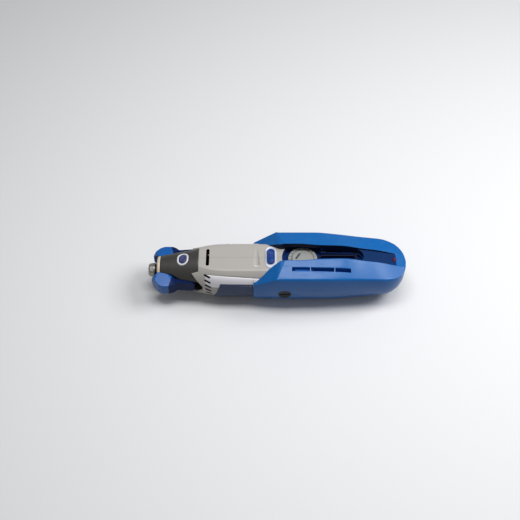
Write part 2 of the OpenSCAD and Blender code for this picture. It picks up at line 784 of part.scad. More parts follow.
module field_coils() {
    color([0.72, 0.42, 0.20]) for (turn = [0, 180]) {
        sector(stator_at - 5, stator_at - 0.1, coil_out, coil_in, turn + 30, turn + 150);
        sector(stator_end + 0.1, stator_end + 2.4, coil_out, coil_in, turn + 30, turn + 150);
        sector(stator_at - 0.2, stator_end + 0.2, coil_out, coil_in, turn + 30, turn + 46);
        sector(stator_at - 0.2, stator_end + 0.2, coil_out, coil_in, turn + 134, turn + 150);
    }
}

module fan_baffle() {
    color([0.20, 0.20, 0.21]) intersection() {
        tube(baffle_at, baffle_at + 2, body_in - seat, 8);
        below(top_in - seat);
    }
}

module armature_shaft() { color([0.80, 0.81, 0.83]) bar(shaft_start, shaft_end, shaft_r); }

slots = 12;

module armature_core() {
    color([0.40, 0.41, 0.43]) difference() {
        tube(stator_at + 1, stator_end - 1, armature_r, shaft_r + 0.02);
        for (i = [0 : slots - 1]) rotate_slot(i) cube([stator_l + 4, 1.7, 3.3]);
    }
}

module rotate_slot(i) {
    placed() rotate([i * 360 / slots, 0, 0]) translate([stator_at - 2, -0.85, 7.6]) children();
}

module armature_windings() {
    color([0.75, 0.36, 0.16]) {
        turned([[stator_at - 5.5, shaft_r + 1], [stator_at - 5.5, 7.6], [stator_at - 3.5, 9.4], [stator_at + 0.9, 9.6],
                [stator_at + 0.9, shaft_r + 1]]);
        turned([[stator_end - 0.9, shaft_r + 1], [stator_end - 0.9, 9.6], [stator_end + 1.5, 9.2],
                [stator_end + 2.6, 7.6], [stator_end + 2.6, shaft_r + 1]]);
        for (i = [0 : slots - 1]) placed() rotate([i * 360 / slots, 0, 0])
            translate([stator_at + 0.8, -0.8, 7.7]) cube([stator_l - 1.6, 1.6, 1.9]);
    }
}

module commutator() {
    color([0.78, 0.48, 0.26]) difference() {
        tube(commutator_at, commutator_at + commutator_l, commutator_r, shaft_r + 0.02);
        for (i = [0 : slots - 1]) placed() rotate([i * 360 / slots, 0, 0])
            translate([commutator_at - 1, -0.25, commutator_r - 0.8]) cube([commutator_l + 2, 0.5, 2]);
    }
}

module fan() {
    color([0.13, 0.13, 0.14]) {
        tube(fan_at, fan_at + fan_l, 6, shaft_r + 0.02);
        tube(fan_at + fan_l - 1.5, fan_at + fan_l, fan_r, 5.9);
        for (i = [0 : fan_blades - 1]) placed() rotate([i * 360 / fan_blades, 0, 0])
            translate([fan_at, -0.6, 5.8]) cube([fan_l - 1.4, 1.2, fan_r - 6.2]);
    }
}

module drive_spindle() {
    color([0.72, 0.73, 0.75]) difference() {
        union() {
            bar(4.4, 10, 3.9);
            bar(10, front_bearing_at - 0.4, spindle_r);
        }
        bar(0, collet_l + 4, collet_r + 0.02);
        bar(shaft_start, front_bearing_at + 1, shaft_r + 0.02);
        // hole that the lock pin meets
        placed() translate([lock_at, 0, 0]) cylinder(h = far, r = lock_pin_r + 0.3);
    }
}

module collet() {
    color([0.68, 0.69, 0.71]) difference() {
        bar(1.2, 1.2 + collet_l, collet_r);
        bar(0, collet_l + 3, collet_bore_r);
        // saw cuts that let it close
        for (a = [45, 135]) placed() rotate([a, 0, 0]) translate([9, -far, -0.25]) cube([5, 2 * far, 0.5]);
    }
}

module collet_nut() {
    color([0.76, 0.76, 0.75]) difference() {
        turned([[0, 0], [0, nut_r - 1.3], [1.2, nut_r - 0.5], [4.6, nut_r], [nut_l - collar_l, nut_r],
                [nut_l - collar_l, nut_r - 1.1], [nut_l, nut_r - 1.1], [nut_l, 0]]);
        bar(-1, nut_l + 1, collet_r + 0.1);
        bar(4.2, nut_l + 1, 3.9 + 0.05);
        // flats for a spanner
        for (a = [0 : 60 : 300]) placed() rotate([a, 0, 0]) translate([1.6, -far, nut_r - 0.55]) cube([2.6, 2 * far, 5]);
    }
}

cap_r = 5.5;

module brush_holders() {
    color([0.80, 0.62, 0.28]) for (turn = [0, 180]) placed() rotate([turn, 0, 0]) difference() {
        translate([brush_at - 4, 8.6, -4]) cube([8, body_r - 9.7, 8]);
        translate([brush_at - 2.6, 8, -2.6]) cube([5.2, 16, 5.2]);
    }
}

module brushes() {
    color([0.15, 0.15, 0.16]) for (turn = [0, 180]) placed() rotate([turn, 0, 0])
        translate([brush_at - 2.55, commutator_r + gap, -2.55]) cube([5.1, 8.4, 5.1]);
}

module brush_springs() {
    color([0.70, 0.70, 0.70]) for (turn = [0, 180]) placed() rotate([turn, 0, 0])
        translate([brush_at, commutator_r + gap + 8.4, 0]) rotate([-90, 0, 0]) difference() {
            cylinder(h = body_r - commutator_r - gap - 8.4, r = 2.2);
            translate([0, 0, -1]) cylinder(h = 20, r = 1.6);
        }
}

module brush_caps() {
    color([0.08, 0.08, 0.09]) for (turn = [0, 180]) placed() rotate([turn, 0, 0])
        translate([brush_at, body_r + seat, 0]) rotate([-90, 0, 0]) difference() {
            cylinder(h = rear_w - 0.6 - body_r - seat, r = cap_r);
            translate([-far, -0.6, rear_w - body_r - 2]) cube([2 * far, 1.2, 5]);
        }
}

// ---------------------------------------------------------------- release levers

lever_in = rim_r + 0.35;
lever_side = mirrored([
    [lever_tip, 4.6], [lever_tip + 1, 7.4], [lever_tip + 3.4, ear_h], [ear_end, ear_h], [band_start, band_h],
    [nose_l - 6, band_h - 0.1], [nose_l - 3.5, band_h - 1.6]
]);
lever_plan = mirrored([
    [lever_tip, lever_in + 1.2], [lever_tip + 3.2, ear_out - 5.3], [lever_tip + 6, ear_out - 1.9],
    [lever_tip + 9.6, ear_out], [lever_tip + 17, ear_out], [lever_tip + 19.5, ear_out - 1.3],
    [lever_tip + 23, band_out], [nose_l - 5, band_out + 1.2], [nose_l - 3.5, band_out + 0.4]
]);
// The ears' upper and lower faces slope away from the nose
ear_root = 8.9;
ear_slope = (ear_h - ear_edge_h) / (ear_out - ear_root);
ear_section = [
    [-ear_out, ear_edge_h], [0, ear_h + ear_root * ear_slope], [ear_out, ear_edge_h],
    [ear_out, -ear_edge_h], [0, -ear_h - ear_root * ear_slope], [-ear_out, -ear_edge_h]
];

module lever(side) {
    difference() {
        intersection() {
            upright(lever_plan, -far, far);
            across(lever_side, -far, far);
            along(ear_section, 0, nose_l);
            half(side);
        }
        bar(0, nose_l, lever_in);
        block([yoke_at - seat, -arm_reach - seat, -3 - seat], [yoke_at + yoke_l + seat, arm_reach + seat, 3 + seat]);
    }
}

module lever_left() { color([0.20, 0.45, 0.80]) lever(-1); }
module lever_right() { color([0.20, 0.45, 0.80]) lever(1); }

arm_reach = rim_r + 3;

module release_yoke() {
    color([0.60, 0.61, 0.63]) difference() {
        union() {
            bar(yoke_at, yoke_at + yoke_l, core_bore_r - gap);
            block([yoke_at, -arm_reach, -3], [yoke_at + yoke_l, arm_reach, 3]);
        }
        bar(0, far, spindle_r + 0.4);
    }
}

// Round wire wound about the axis of z, as one tube
module wound(r, wire_r, length, turns, sides = 8, steps = 14) {
    rings = turns * steps;
    pitch = (length - 2 * wire_r) / rings;
    slope = atan2((length - 2 * wire_r) / turns, 2 * PI * r);
    polyhedron(
        points = [for (i = [0 : rings]) let (a = i * 360 / steps)
            for (j = [0 : sides - 1]) let (b = j * 360 / sides, u = wire_r * cos(b), v = wire_r * sin(b)) [
                (r + u) * cos(a) + v * sin(slope) * sin(a), (r + u) * sin(a) - v * sin(slope) * cos(a),
                wire_r + i * pitch + v * cos(slope)
            ]],
        faces = concat(
            [[for (j = [0 : sides - 1]) j]],
            [[for (j = [sides - 1 : -1 : 0]) rings * sides + j]],
            [for (i = [0 : rings - 1]) for (j = [0 : sides - 1]) let (q = (j + 1) % sides)
                each [[i * sides + j, (i + 1) * sides + j, (i + 1) * sides + q],
                      [i * sides + j, (i + 1) * sides + q, i * sides + q]]]
        )
    );
}

module release_spring() {
    color([0.70, 0.71, 0.72]) placed() translate([yoke_at + yoke_l + seat, 0, 0]) rotate([0, 90, 0])
        wound(7.4, 0.55, spring_end - yoke_at - yoke_l - 2 * seat, 3);
}

// ---------------------------------------------------------------- shaft lock

lock_head_z = 14.9;

module lock_button() {
    color([0.16, 0.17, 0.40]) {
        stadium_block(lock_at, lock_l, lock_w, lock_head_z, 17.2);
        placed() translate([lock_at, 0, spindle_r + 0.4 + lock_travel]) cylinder(h = lock_head_z - spindle_r - 0.3 - lock_travel, r = lock_pin_r);
    }
}

module lock_spring() {
    color([0.70, 0.71, 0.72]) placed() translate([lock_at, 0, rim_r - 1.2 + seat])
        wound(2.45, 0.3, lock_head_z - rim_r + 1.2 - 2 * seat, 3);
}

// ---------------------------------------------------------------- electronics, gland, screws

module speed_board() {
    color([0.12, 0.36, 0.22]) {
        block([body_end + 3, -13, 3.2], [body_end + 33, 13, 4.8]);
        block([body_end + 6, -9, -6], [body_end + 16, 1, 3.3]);
        block([body_end + 19, -2, -3], [body_end + 30, 8, 3.3]);
    }
}

module cord_gland() {
    color([0.07, 0.07, 0.08]) placed() translate([0, 0, gland_z]) rotate([0, 90, 0]) rotate_extrude() polygon([
        [cord_bore_r, overall_l - 16], [gland_r + 2.4, overall_l - 16], [gland_r + 2.4, overall_l - 13],
        [gland_r, overall_l - 13], [gland_r, overall_l - 2.2], [gland_r - 0.8, overall_l - 1.4],
        [cord_bore_r, overall_l - 1.4]
    ]);
}

module housing_screws() {
    color([0.55, 0.56, 0.58]) for (p = screws) difference() {
        union() {
            cross_bar(p[0], p[1], -12, p[2] + 0.1, screw_r);
            cross_bar(p[0], p[1], p[2], p[2] + 2.2, screw_head_r);
        }
        for (a = [0, 90]) placed() translate([p[0], p[2] + 1.2, p[1]]) rotate([0, a, 0]) cube([3.6, 5, 0.7], center = true);
    }
}

housing_left();
housing_right();
belly_grip();
nose_core();
nose_grip_top();
nose_grip_bottom();
nose_rim();
lock_button_ring();
rear_shell_left();
rear_shell_right();
switch_surround();
well_floor();
front_bearing();
rear_bearing();
bearing_boot();
field_stator();
field_coils();
fan_baffle();
brush_holders();
brushes();
brush_springs();
brush_caps();
switch_module();
speed_board();
speed_control();
power_lamp();
cord_gland();
housing_screws();
armature_shaft();
armature_core();
armature_windings();
commutator();
fan();
drive_spindle();
collet();
collet_nut();
lever_left();
lever_right();
release_yoke();
release_spring();
lock_button();
lock_spring();
switch_slider();
switch_link();
speed_dial();
dial_pointer();
hanger_bail();
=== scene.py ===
import json
import math
import bpy
import numpy as np
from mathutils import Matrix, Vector


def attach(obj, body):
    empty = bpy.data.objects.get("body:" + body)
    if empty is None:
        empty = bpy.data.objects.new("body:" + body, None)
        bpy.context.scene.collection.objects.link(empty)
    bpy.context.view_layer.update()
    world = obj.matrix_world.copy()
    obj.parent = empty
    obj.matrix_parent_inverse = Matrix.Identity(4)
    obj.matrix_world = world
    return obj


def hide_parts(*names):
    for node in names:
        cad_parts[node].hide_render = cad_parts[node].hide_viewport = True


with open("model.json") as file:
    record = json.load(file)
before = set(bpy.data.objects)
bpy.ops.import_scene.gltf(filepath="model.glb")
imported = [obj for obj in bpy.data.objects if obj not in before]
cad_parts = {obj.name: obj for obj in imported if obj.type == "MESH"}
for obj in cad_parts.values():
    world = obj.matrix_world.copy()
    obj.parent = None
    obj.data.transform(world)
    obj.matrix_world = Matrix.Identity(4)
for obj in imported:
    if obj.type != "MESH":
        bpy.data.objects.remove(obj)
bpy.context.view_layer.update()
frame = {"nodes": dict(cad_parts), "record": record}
cadNodes = frame["nodes"]
print("frame loaded")

# Sizes that several pieces share, in millimetres. Stations run from the face of the collet nut to the tail.
tool = {
    "middle": 115.0,       # station that lies over the origin
    "axisHeight": 23.4,    # spindle axis above the ground
    "noseEnd": 45.5,       # front of the motor housing
    "housingEnd": 172.0,
    "tailAt": 205.0,       # where the tail starts to round off
    "length": 230.0,
    "bodyRadius": 23.3,
    "flatTop": 18.5,       # flat top of the housing above the axis
    "dialAt": 138.0,
    "wellRadius": 18.4,    # round well of the dial
    "armsStart": 94.3,
    "smoothAngle": 38,     # edges sharper than this stay sharp
}
millimetre = 0.001
frameShift = np.array([-tool["middle"], 0.0, tool["axisHeight"]])


def toWorld(points):
    # station, across and height above the axis, in millimetres, become metres in the shared frame
    return (np.asarray(points, float) + frameShift) * millimetre


def table(pairs, s):
    # straight lines between the pairs of a table
    a = np.asarray(pairs, float)
    return np.interp(s, a[:, 0], a[:, 1])


def softTable(pairs, s, reach, start=-1e9):
    # the same table averaged over a window along the station, past a starting station
    steps = np.linspace(-1, 1, 9) * reach
    soft = np.mean([table(pairs, s + d) for d in steps], axis=0)
    blend = np.clip((s - start) / (2 * reach), 0, 1)
    return table(pairs, s) * (1 - blend) + soft * blend


def fullTurn(count):
    # even steps once round a circle
    return np.arange(count) / count * 2 * math.pi


def gridFaces(rows, cols, wrapRows=False, wrapCols=False):
    # quads between neighbouring rows and columns of a grid of points
    r = np.arange(rows if wrapRows else rows - 1)
    c = np.arange(cols if wrapCols else cols - 1)
    i, j = np.meshgrid(r, c, indexing="ij")
    i2, j2 = (i + 1) % rows, (j + 1) % cols
    return np.stack([i * cols + j, i2 * cols + j, i2 * cols + j2, i * cols + j2], -1).reshape(-1, 4)


def closedLoft(loops, strips=False):
    # loops: (rows, cols, 3). Each row is a closed ring, and flat faces close both ends. Where a ring is an
    # outer run and an inner run back over the same stations, strips closes its ends with quads between them.
    rows, cols = loops.shape[:2]
    faces = gridFaces(rows, cols, wrapCols=True).tolist()
    first, last = np.arange(cols), np.arange((rows - 1) * cols, rows * cols)[::-1]
    if strips:
        i = np.arange(cols // 2 - 1)
        quads = np.stack([i, i + 1, cols - 2 - i, cols - 1 - i], -1)
        faces += first[quads].tolist() + last[quads].tolist()
    else:
        faces += [first.tolist(), last.tolist()]
    return loops.reshape(-1, 3), faces


def ringLoft(loops):
    # loops whose last row joins the first, with no end faces
    rows, cols = loops.shape[:2]
    return loops.reshape(-1, 3), gridFaces(rows, cols, True, True).tolist()


def outward(shape):
    # the sum of the tetrahedra between a corner and the faces is negative where the faces point inwards
    p, faces = np.asarray(shape[0], float).reshape(-1, 3), [list(f) for f in shape[1]]
    fan = np.array([(f[0], f[k], f[k + 1]) for f in faces for k in range(1, len(f) - 1)])
    a, b, c = (p - p[0])[fan].transpose(1, 0, 2)
    return p, faces if np.einsum("ij,ij->", a, np.cross(b, c)) > 0 else [f[::-1] for f in faces]


def joined(*shapes):
    # several (points, faces) pairs as one, each with its faces outwards
    points, faces, base = [], [], 0
    for p, f in map(outward, shapes):
        points.append(p)
        faces += [[int(k) + base for k in face] for face in f]
        base += len(p)
    return np.concatenate(points), faces


def signedVolume(mesh):
    # sum of the tetrahedra between the origin and each triangle
    mesh.calc_loop_triangles()
    tri = np.zeros(len(mesh.loop_triangles) * 3, np.int32)
    mesh.loop_triangles.foreach_get("vertices", tri)
    co = np.zeros(len(mesh.vertices) * 3)
    mesh.vertices.foreach_get("co", co)
    a, b, c = co.reshape(-1, 3)[tri.reshape(-1, 3)].transpose(1, 0, 2)
    return float(np.einsum("ij,ij->i", a, np.cross(b, c)).sum() / 6)


def smooth(mesh, sharp):
    # smooth shading that stops at the edges whose faces turn by more than the angle
    mesh.shade_smooth()
    mesh.set_sharp_from_angle(angle=math.radians(sharp))
    return mesh


def meshFrom(name, shape, sharp=tool["smoothAngle"]):
    # the mesh of a (points, faces) pair, in metres and with its faces outwards
    points, faces = shape
    mesh = bpy.data.meshes.new(name)
    mesh.from_pydata(toWorld(points).tolist(), [], [list(f) for f in faces])
    mesh.validate()
    mesh.update()
    if signedVolume(mesh) < 0:
        mesh.flip_normals()
    return smooth(mesh, sharp)


def newObject(name, mesh):
    # an object in the scene, at the origin
    obj = bpy.data.objects.new(name, mesh)
    bpy.context.scene.collection.objects.link(obj)
    return obj


def piece(name, shape, slots, body, node, sharp=tool["smoothAngle"]):
    # a visible piece in place of a node. Slots names its finishes, and the first is the node's own.
    mesh = shape if isinstance(shape, bpy.types.Mesh) else meshFrom(name, shape, sharp)
    mesh.name = name
    obj = newObject(name, mesh)
    for slot in slots.split():
        mesh.materials.append(finishes[slot])
    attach(obj, body)
    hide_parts(node)
    return obj


def cutAway(name, shape, cutters):
    # the shape less its cutters, as one mesh
    base = newObject(name, meshFrom(name, shape))
    tools = newObject("cutters", meshFrom("cutters", joined(*cutters)))
    cut = base.modifiers.new("cut", "BOOLEAN")
    cut.operation, cut.object, cut.solver = "DIFFERENCE", tools, "EXACT"
    bpy.context.view_layer.update()
    mesh = bpy.data.meshes.new_from_object(base.evaluated_get(bpy.context.evaluated_depsgraph_get()))
    for obj in (base, tools):
        bpy.data.objects.remove(obj)
    return smooth(mesh, tool["smoothAngle"])


def paint(obj, rule):
    # material index of each face, from its middle in station, across and height, and its normal
    faces = obj.data.polygons
    middle, normal = np.zeros(len(faces) * 3), np.zeros(len(faces) * 3)
    faces.foreach_get("center", middle)
    faces.foreach_get("normal", normal)
    s, y, z = (middle.reshape(-1, 3) / millimetre - frameShift).T
    faces.foreach_set("material_index", np.asarray(rule(s, y, z, normal.reshape(-1, 3)), np.int32))
    obj.data.update()


def roundedPath(corners, reach, cornerSteps, lineSteps):
    # corners: (rows, k, 2). Each inner corner becomes a quadratic curve that starts and ends within its
    # reach, and each straight run between two curves gets lineSteps extra points.
    def toward(here, p, r):
        d = p - here
        n = np.maximum(np.linalg.norm(d, axis=1, keepdims=True), 1e-9)
        return here + d / n * np.minimum(r, 0.49 * n)

    def line(a, b, count):
        return [a + (b - a) * q / (lineSteps + 1) for q in range(1, count + 1)]

    last = corners[:, 0]
    out = [last]
    for i in range(1, corners.shape[1] - 1):
        here = corners[:, i]
        a, b = toward(here, corners[:, i - 1], reach[i]), toward(here, corners[:, i + 1], reach[i])
        out += line(last, a, lineSteps)
        for t in np.arange(cornerSteps + 1) / cornerSteps:
            out.append(a * (1 - t) ** 2 + here * 2 * t * (1 - t) + b * t * t)
        last = b
    out += line(last, corners[:, -1], lineSteps + 1)
    return np.stack(out, 1)


def turnedRing(profile, around, height=0.0, shape=None):
    # a closed (station, radius) profile turned about a line along the tool
    prof, a = np.asarray(profile, float), fullTurn(around)[:, None]
    s, r = (np.repeat(prof[None, :, i], around, 0) for i in (0, 1))
    if shape is not None:
        r = shape(s, r, a)
    return ringLoft(np.stack([s, r * np.cos(a), r * np.sin(a) + height], -1))


def upright(at, profile, around, shape=None):
    # a (radius, height) profile turned about an upright line, from pole to pole
    prof, a = np.asarray(profile, float), fullTurn(around)[None]
    r, z = (np.repeat(prof[:, i:i + 1], around, 1) for i in (0, 1))
    if shape is not None:
        z = shape(r, z, a)
    return closedLoft(np.stack([at + r * np.cos(a), r * np.sin(a), z], -1))


def crossBar(at, z, y0, y1, radius, edge=0.15, around=40):
    # a round bar across the tool with eased ends
    a, ease = fullTurn(around), edge * np.sign(y1 - y0)
    y = np.array([y0, y0 + ease, y1 - ease, y1])[:, None] + 0 * a
    r = np.array([radius - edge, radius, radius, radius - edge])[:, None]
    return closedLoft(np.stack([at + r * np.cos(a), y, z + r * np.sin(a)], -1))


def box(low, high):
    # a block between two opposite corners
    x, y, z = zip(low, high)
    corners = [(i, j, k) for i in x for j in y for k in z]
    return corners, [(0, 1, 3, 2), (4, 6, 7, 5), (0, 4, 5, 1), (2, 3, 7, 6), (0, 2, 6, 4), (1, 5, 7, 3)]


def stadiumLoop(length, width, inset, straightSteps=22, arcSteps=18):
    # length is the diameter of the round ends, width the reach across the tool, both drawn in by the inset
    r = max(length / 2 - inset, 0.03)
    half = (width - length) / 2
    y = np.linspace(-half, half, straightSteps, endpoint=False)
    a = np.linspace(0, math.pi, arcSteps, endpoint=False)
    one = np.concatenate([np.stack([np.full(len(y), r), y], -1),
                          np.stack([r * np.cos(a), half + r * np.sin(a)], -1)])
    return np.concatenate([one, -one])


def stadiumRows(outline, rows, base=0.0, lift=None):
    # outline: station, length and width. Each row of (inset, height) is the outline drawn in by the inset, at
    # its height above the base, which is a level or a function of station and across.
    at, length, width = outline
    out = []
    for inset, height in rows:
        p = stadiumLoop(length, width, inset)
        s, y = at + p[:, 0], p[:, 1]
        z = (base(s, y) if callable(base) else np.full(len(s), base)) + height
        if lift is not None:
            z = z + lift(y, inset)
        out.append(np.stack([s, y, z], -1))
    return np.stack(out)


# Finishes

wearAndEdgeLight = {
    "mottleScale": 45.0,
    # turn of the normal at an edge lightened as wear and as a painted highlight, and the noise that breaks it
    # up
    "wornLitEdgeTurn": (0.02, 0.25), "wornLitEdgeNoise": (0.42, 0.62),
    "dustScale": 160.0, "dustNoise": (0.45, 0.75), "dustUp": (0.2, 1.0),
    "dustTone": (196, 192, 186), "dustRough": 0.3,
    "scratchStretch": (60.0, 900.0, 500.0), "scratchTurn": (0.2, 0.1, 0.35), "scratchNoise": (0.58, 0.66),
}


def newGroup(name, inputs, outputs):
    # a node group with float inputs of (label, value) and outputs of (label, kind)
    g = bpy.data.node_groups.new(name, "ShaderNodeTree")
    for label, value in inputs:
        g.interface.new_socket(label, in_out="INPUT", socket_type="NodeSocketFloat").default_value = value
    for label, kind in outputs:
        g.interface.new_socket(label, in_out="OUTPUT", socket_type="NodeSocket" + kind)
    return g, g.nodes.new("NodeGroupInput").outputs, g.nodes.new("NodeGroupOutput").inputs


def feed(tree, socket, value):
    # a number or a colour is set on the socket, and another socket is linked to it
    if isinstance(value, (int, float, tuple)):
        socket.default_value = value
    else:
        tree.links.new(value, socket)


def mathNode(tree, operation, a, b, clamp=False):
    # one sum of two values
    n = tree.nodes.new("ShaderNodeMath")
    n.operation, n.use_clamp = operation, clamp
    feed(tree, n.inputs[0], a)
    feed(tree, n.inputs[1], b)
    return n.outputs[0]


def mixNode(tree, a, b, factor):
    # from colour a to colour b by the factor
    n = tree.nodes.new("ShaderNodeMix")
    n.data_type = "RGBA"
    for label, value in (("A", a), ("B", b), ("Factor", factor)):
        feed(tree, n.inputs[label], value)
    return n.outputs["Result"]


def noise(tree, scale, detail, rough, vector=None):
    # layered noise on Object coordinates, or on a vector
    n = tree.nodes.new("ShaderNodeTexNoise")
    n.inputs["Detail"].default_value = detail
    n.inputs["Roughness"].default_value = rough
    feed(tree, n.inputs["Scale"], scale)
    tree.links.new(vector or tree.nodes.new("ShaderNodeTexCoord").outputs["Object"], n.inputs["Vector"])
    return n.outputs["Fac"]


def rampNode(tree, value, limits):
    # a soft step from 0 at the lower limit to 1 at the upper
    n = tree.nodes.new("ShaderNodeMapRange")
    n.interpolation_type = "SMOOTHSTEP"
    tree.links.new(value, n.inputs["Value"])
    n.inputs["From Min"].default_value, n.inputs["From Max"].default_value = limits
    return n.outputs["Result"]


def grainGroup():
    # a fine height that covers the surface, and a slow mottling
    g, gin, gout = newGroup("mouldedGrain", [("Scale", 1800.0)], [("Height", "Float"), ("Mottle", "Float")])
    g.links.new(noise(g, gin["Scale"], 2.0, 0.5), gout["Height"])
    g.links.new(noise(g, wearAndEdgeLight["mottleScale"], 3.0, 0.6), gout["Mottle"])
    return g


def edgeGroup():
    # where the normal of a rounded edge leaves the true one, broken up by noise: there the colour is
    # lightened, as wear and as a painted edge highlight
    g, gin, gout = newGroup("edgeWearAndHighlight", [("Width", 0.0005), ("Breakup", 900.0)],
                            [("Mask", "Float"), ("Normal", "Vector")])
    bevel = g.nodes.new("ShaderNodeBevel")
    bevel.samples = 4
    g.links.new(gin["Width"], bevel.inputs["Radius"])
    dot = g.nodes.new("ShaderNodeVectorMath")
    dot.operation = "DOT_PRODUCT"
    g.links.new(bevel.outputs[0], dot.inputs[0])
    g.links.new(g.nodes.new("ShaderNodeNewGeometry").outputs["Normal"], dot.inputs[1])
    turn = rampNode(g, mathNode(g, "SUBTRACT", 1.0, dot.outputs["Value"]), wearAndEdgeLight["wornLitEdgeTurn"])
    broken = rampNode(g, noise(g, gin["Breakup"], 3.0, 0.6), wearAndEdgeLight["wornLitEdgeNoise"])
    g.links.new(mathNode(g, "MULTIPLY", turn, broken), gout["Mask"])
    g.links.new(bevel.outputs[0], gout["Normal"])
    return g


def dustGroup():
    # patches on the faces that look up
    g, gin, gout = newGroup("settledDust", [("Amount", 0.3)], [("Mask", "Float")])
    up = g.nodes.new("ShaderNodeSeparateXYZ")
    g.links.new(g.nodes.new("ShaderNodeNewGeometry").outputs["Normal"], up.inputs[0])
    patch = rampNode(g, noise(g, wearAndEdgeLight["dustScale"], 5.0, 0.65), wearAndEdgeLight["dustNoise"])
    mask = mathNode(g, "MULTIPLY", rampNode(g, up.outputs["Z"], wearAndEdgeLight["dustUp"]), patch)
    g.links.new(mathNode(g, "MULTIPLY", mask, gin["Amount"]), gout["Mask"])
    return g


def scratchGroup():
    # noise drawn out along slanting lines, which shows in the sheen
    g, gin, gout = newGroup("handling", [("Amount", 0.1)], [("Rough", "Float")])
    stretch = g.nodes.new("ShaderNodeMapping")
    stretch.inputs["Scale"].default_value = wearAndEdgeLight["scratchStretch"]
    stretch.inputs["Rotation"].default_value = wearAndEdgeLight["scratchTurn"]
    g.links.new(g.nodes.new("ShaderNodeTexCoord").outputs["Object"], stretch.inputs["Vector"])
    lines = rampNode(g, noise(g, 1.0, 2.0, 0.5, stretch.outputs[0]), wearAndEdgeLight["scratchNoise"])
    g.links.new(mathNode(g, "MULTIPLY", lines, gin["Amount"]), gout["Rough"])
    return g


def linear(rgb):
    # a colour written in 0 to 255 becomes scene values
    c = np.asarray(rgb, float) / 255
    c = np.where(c <= 0.04045, c / 12.92, ((c + 0.055) / 1.055) ** 2.4)
    return (*[float(v) for v in c], 1.0)


finishGroups = {"grain": grainGroup(), "edge": edgeGroup(), "dust": dustGroup(), "marks": scratchGroup()}


def finish(name, style):
    # one material: two tones, edges lightened as wear and as a painted highlight, and dust in the colour,
    # mottling, marks and dust in the sheen, and a bump of the grain over rounded edges
    m = bpy.data.materials.new(name)
    m.use_nodes = True
    t = m.node_tree
    t.nodes.clear()
    out = t.nodes.new("ShaderNodeOutputMaterial")
    shader = t.nodes.new("ShaderNodeBsdfPrincipled")
    t.links.new(shader.outputs[0], out.inputs["Surface"])
    for label, key in (("Metallic", "metallic"), ("Specular IOR Level", "specular"), ("Coat Weight", "coat"),
                       ("Coat Roughness", "coatRough")):
        shader.inputs[label].default_value = style[key]

    def group(key, **values):
        n = t.nodes.new("ShaderNodeGroup")
        n.node_tree = finishGroups[key]
        for label, value in values.items():
            n.inputs[label].default_value = value
        return n.outputs

    grain = group("grain", Scale=style["grainScale"])
    edge = group("edge", Width=style["edgeWidth"], Breakup=style["edgeBreakup"])
    dust = group("dust", Amount=style["dust"])
    marks = group("marks", Amount=style["marks"])

    base = mixNode(t, linear(style["colour"]), linear(style["second"]), grain["Mottle"])
    # edges lightened: wear and a painted highlight
    base = mixNode(t, base, linear(style["wornLitEdge"]), edge["Mask"])
    base = mixNode(t, base, linear(wearAndEdgeLight["dustTone"]), dust["Mask"])
    t.links.new(base, shader.inputs["Base Color"])
    slow = mathNode(t, "MULTIPLY", mathNode(t, "SUBTRACT", grain["Mottle"], 0.5), style["mottle"])
    rough = mathNode(t, "ADD", mathNode(t, "ADD", slow, style["rough"]), marks["Rough"])
    rough = mathNode(t, "ADD", rough, mathNode(t, "MULTIPLY", dust["Mask"], wearAndEdgeLight["dustRough"]), clamp=True)
    t.links.new(rough, shader.inputs["Roughness"])
    bump = t.nodes.new("ShaderNodeBump")
    bump.inputs["Strength"].default_value = style["bump"]
    bump.inputs["Distance"].default_value = style["bumpDepth"]
    t.links.new(grain["Height"], bump.inputs["Height"])
    t.links.new(edge["Normal"], bump.inputs["Normal"])
    t.links.new(bump.outputs[0], shader.inputs["Normal"])
    return m


plainLook = {
    "metallic": 0.0, "specular": 0.5, "coat": 0.0, "coatRough": 0.15,
    "mottle": 0.12, "dust": 0.15, "marks": 0.08,
    "grainScale": 1800.0, "bump": 0.25, "bumpDepth": 0.00008, "edgeWidth": 0.0004, "edgeBreakup": 900.0,
}


def look(colour, second, wornLitEdge, rough, **more):
    # the main tone, the tone it is mottled with and the lighter tone of edges, for wear and a painted
    # highlight, in 0 to 255, and what isn't plain
    return {**plainLook, "colour": colour, "second": second, "wornLitEdge": wornLitEdge, "rough": rough, **more}


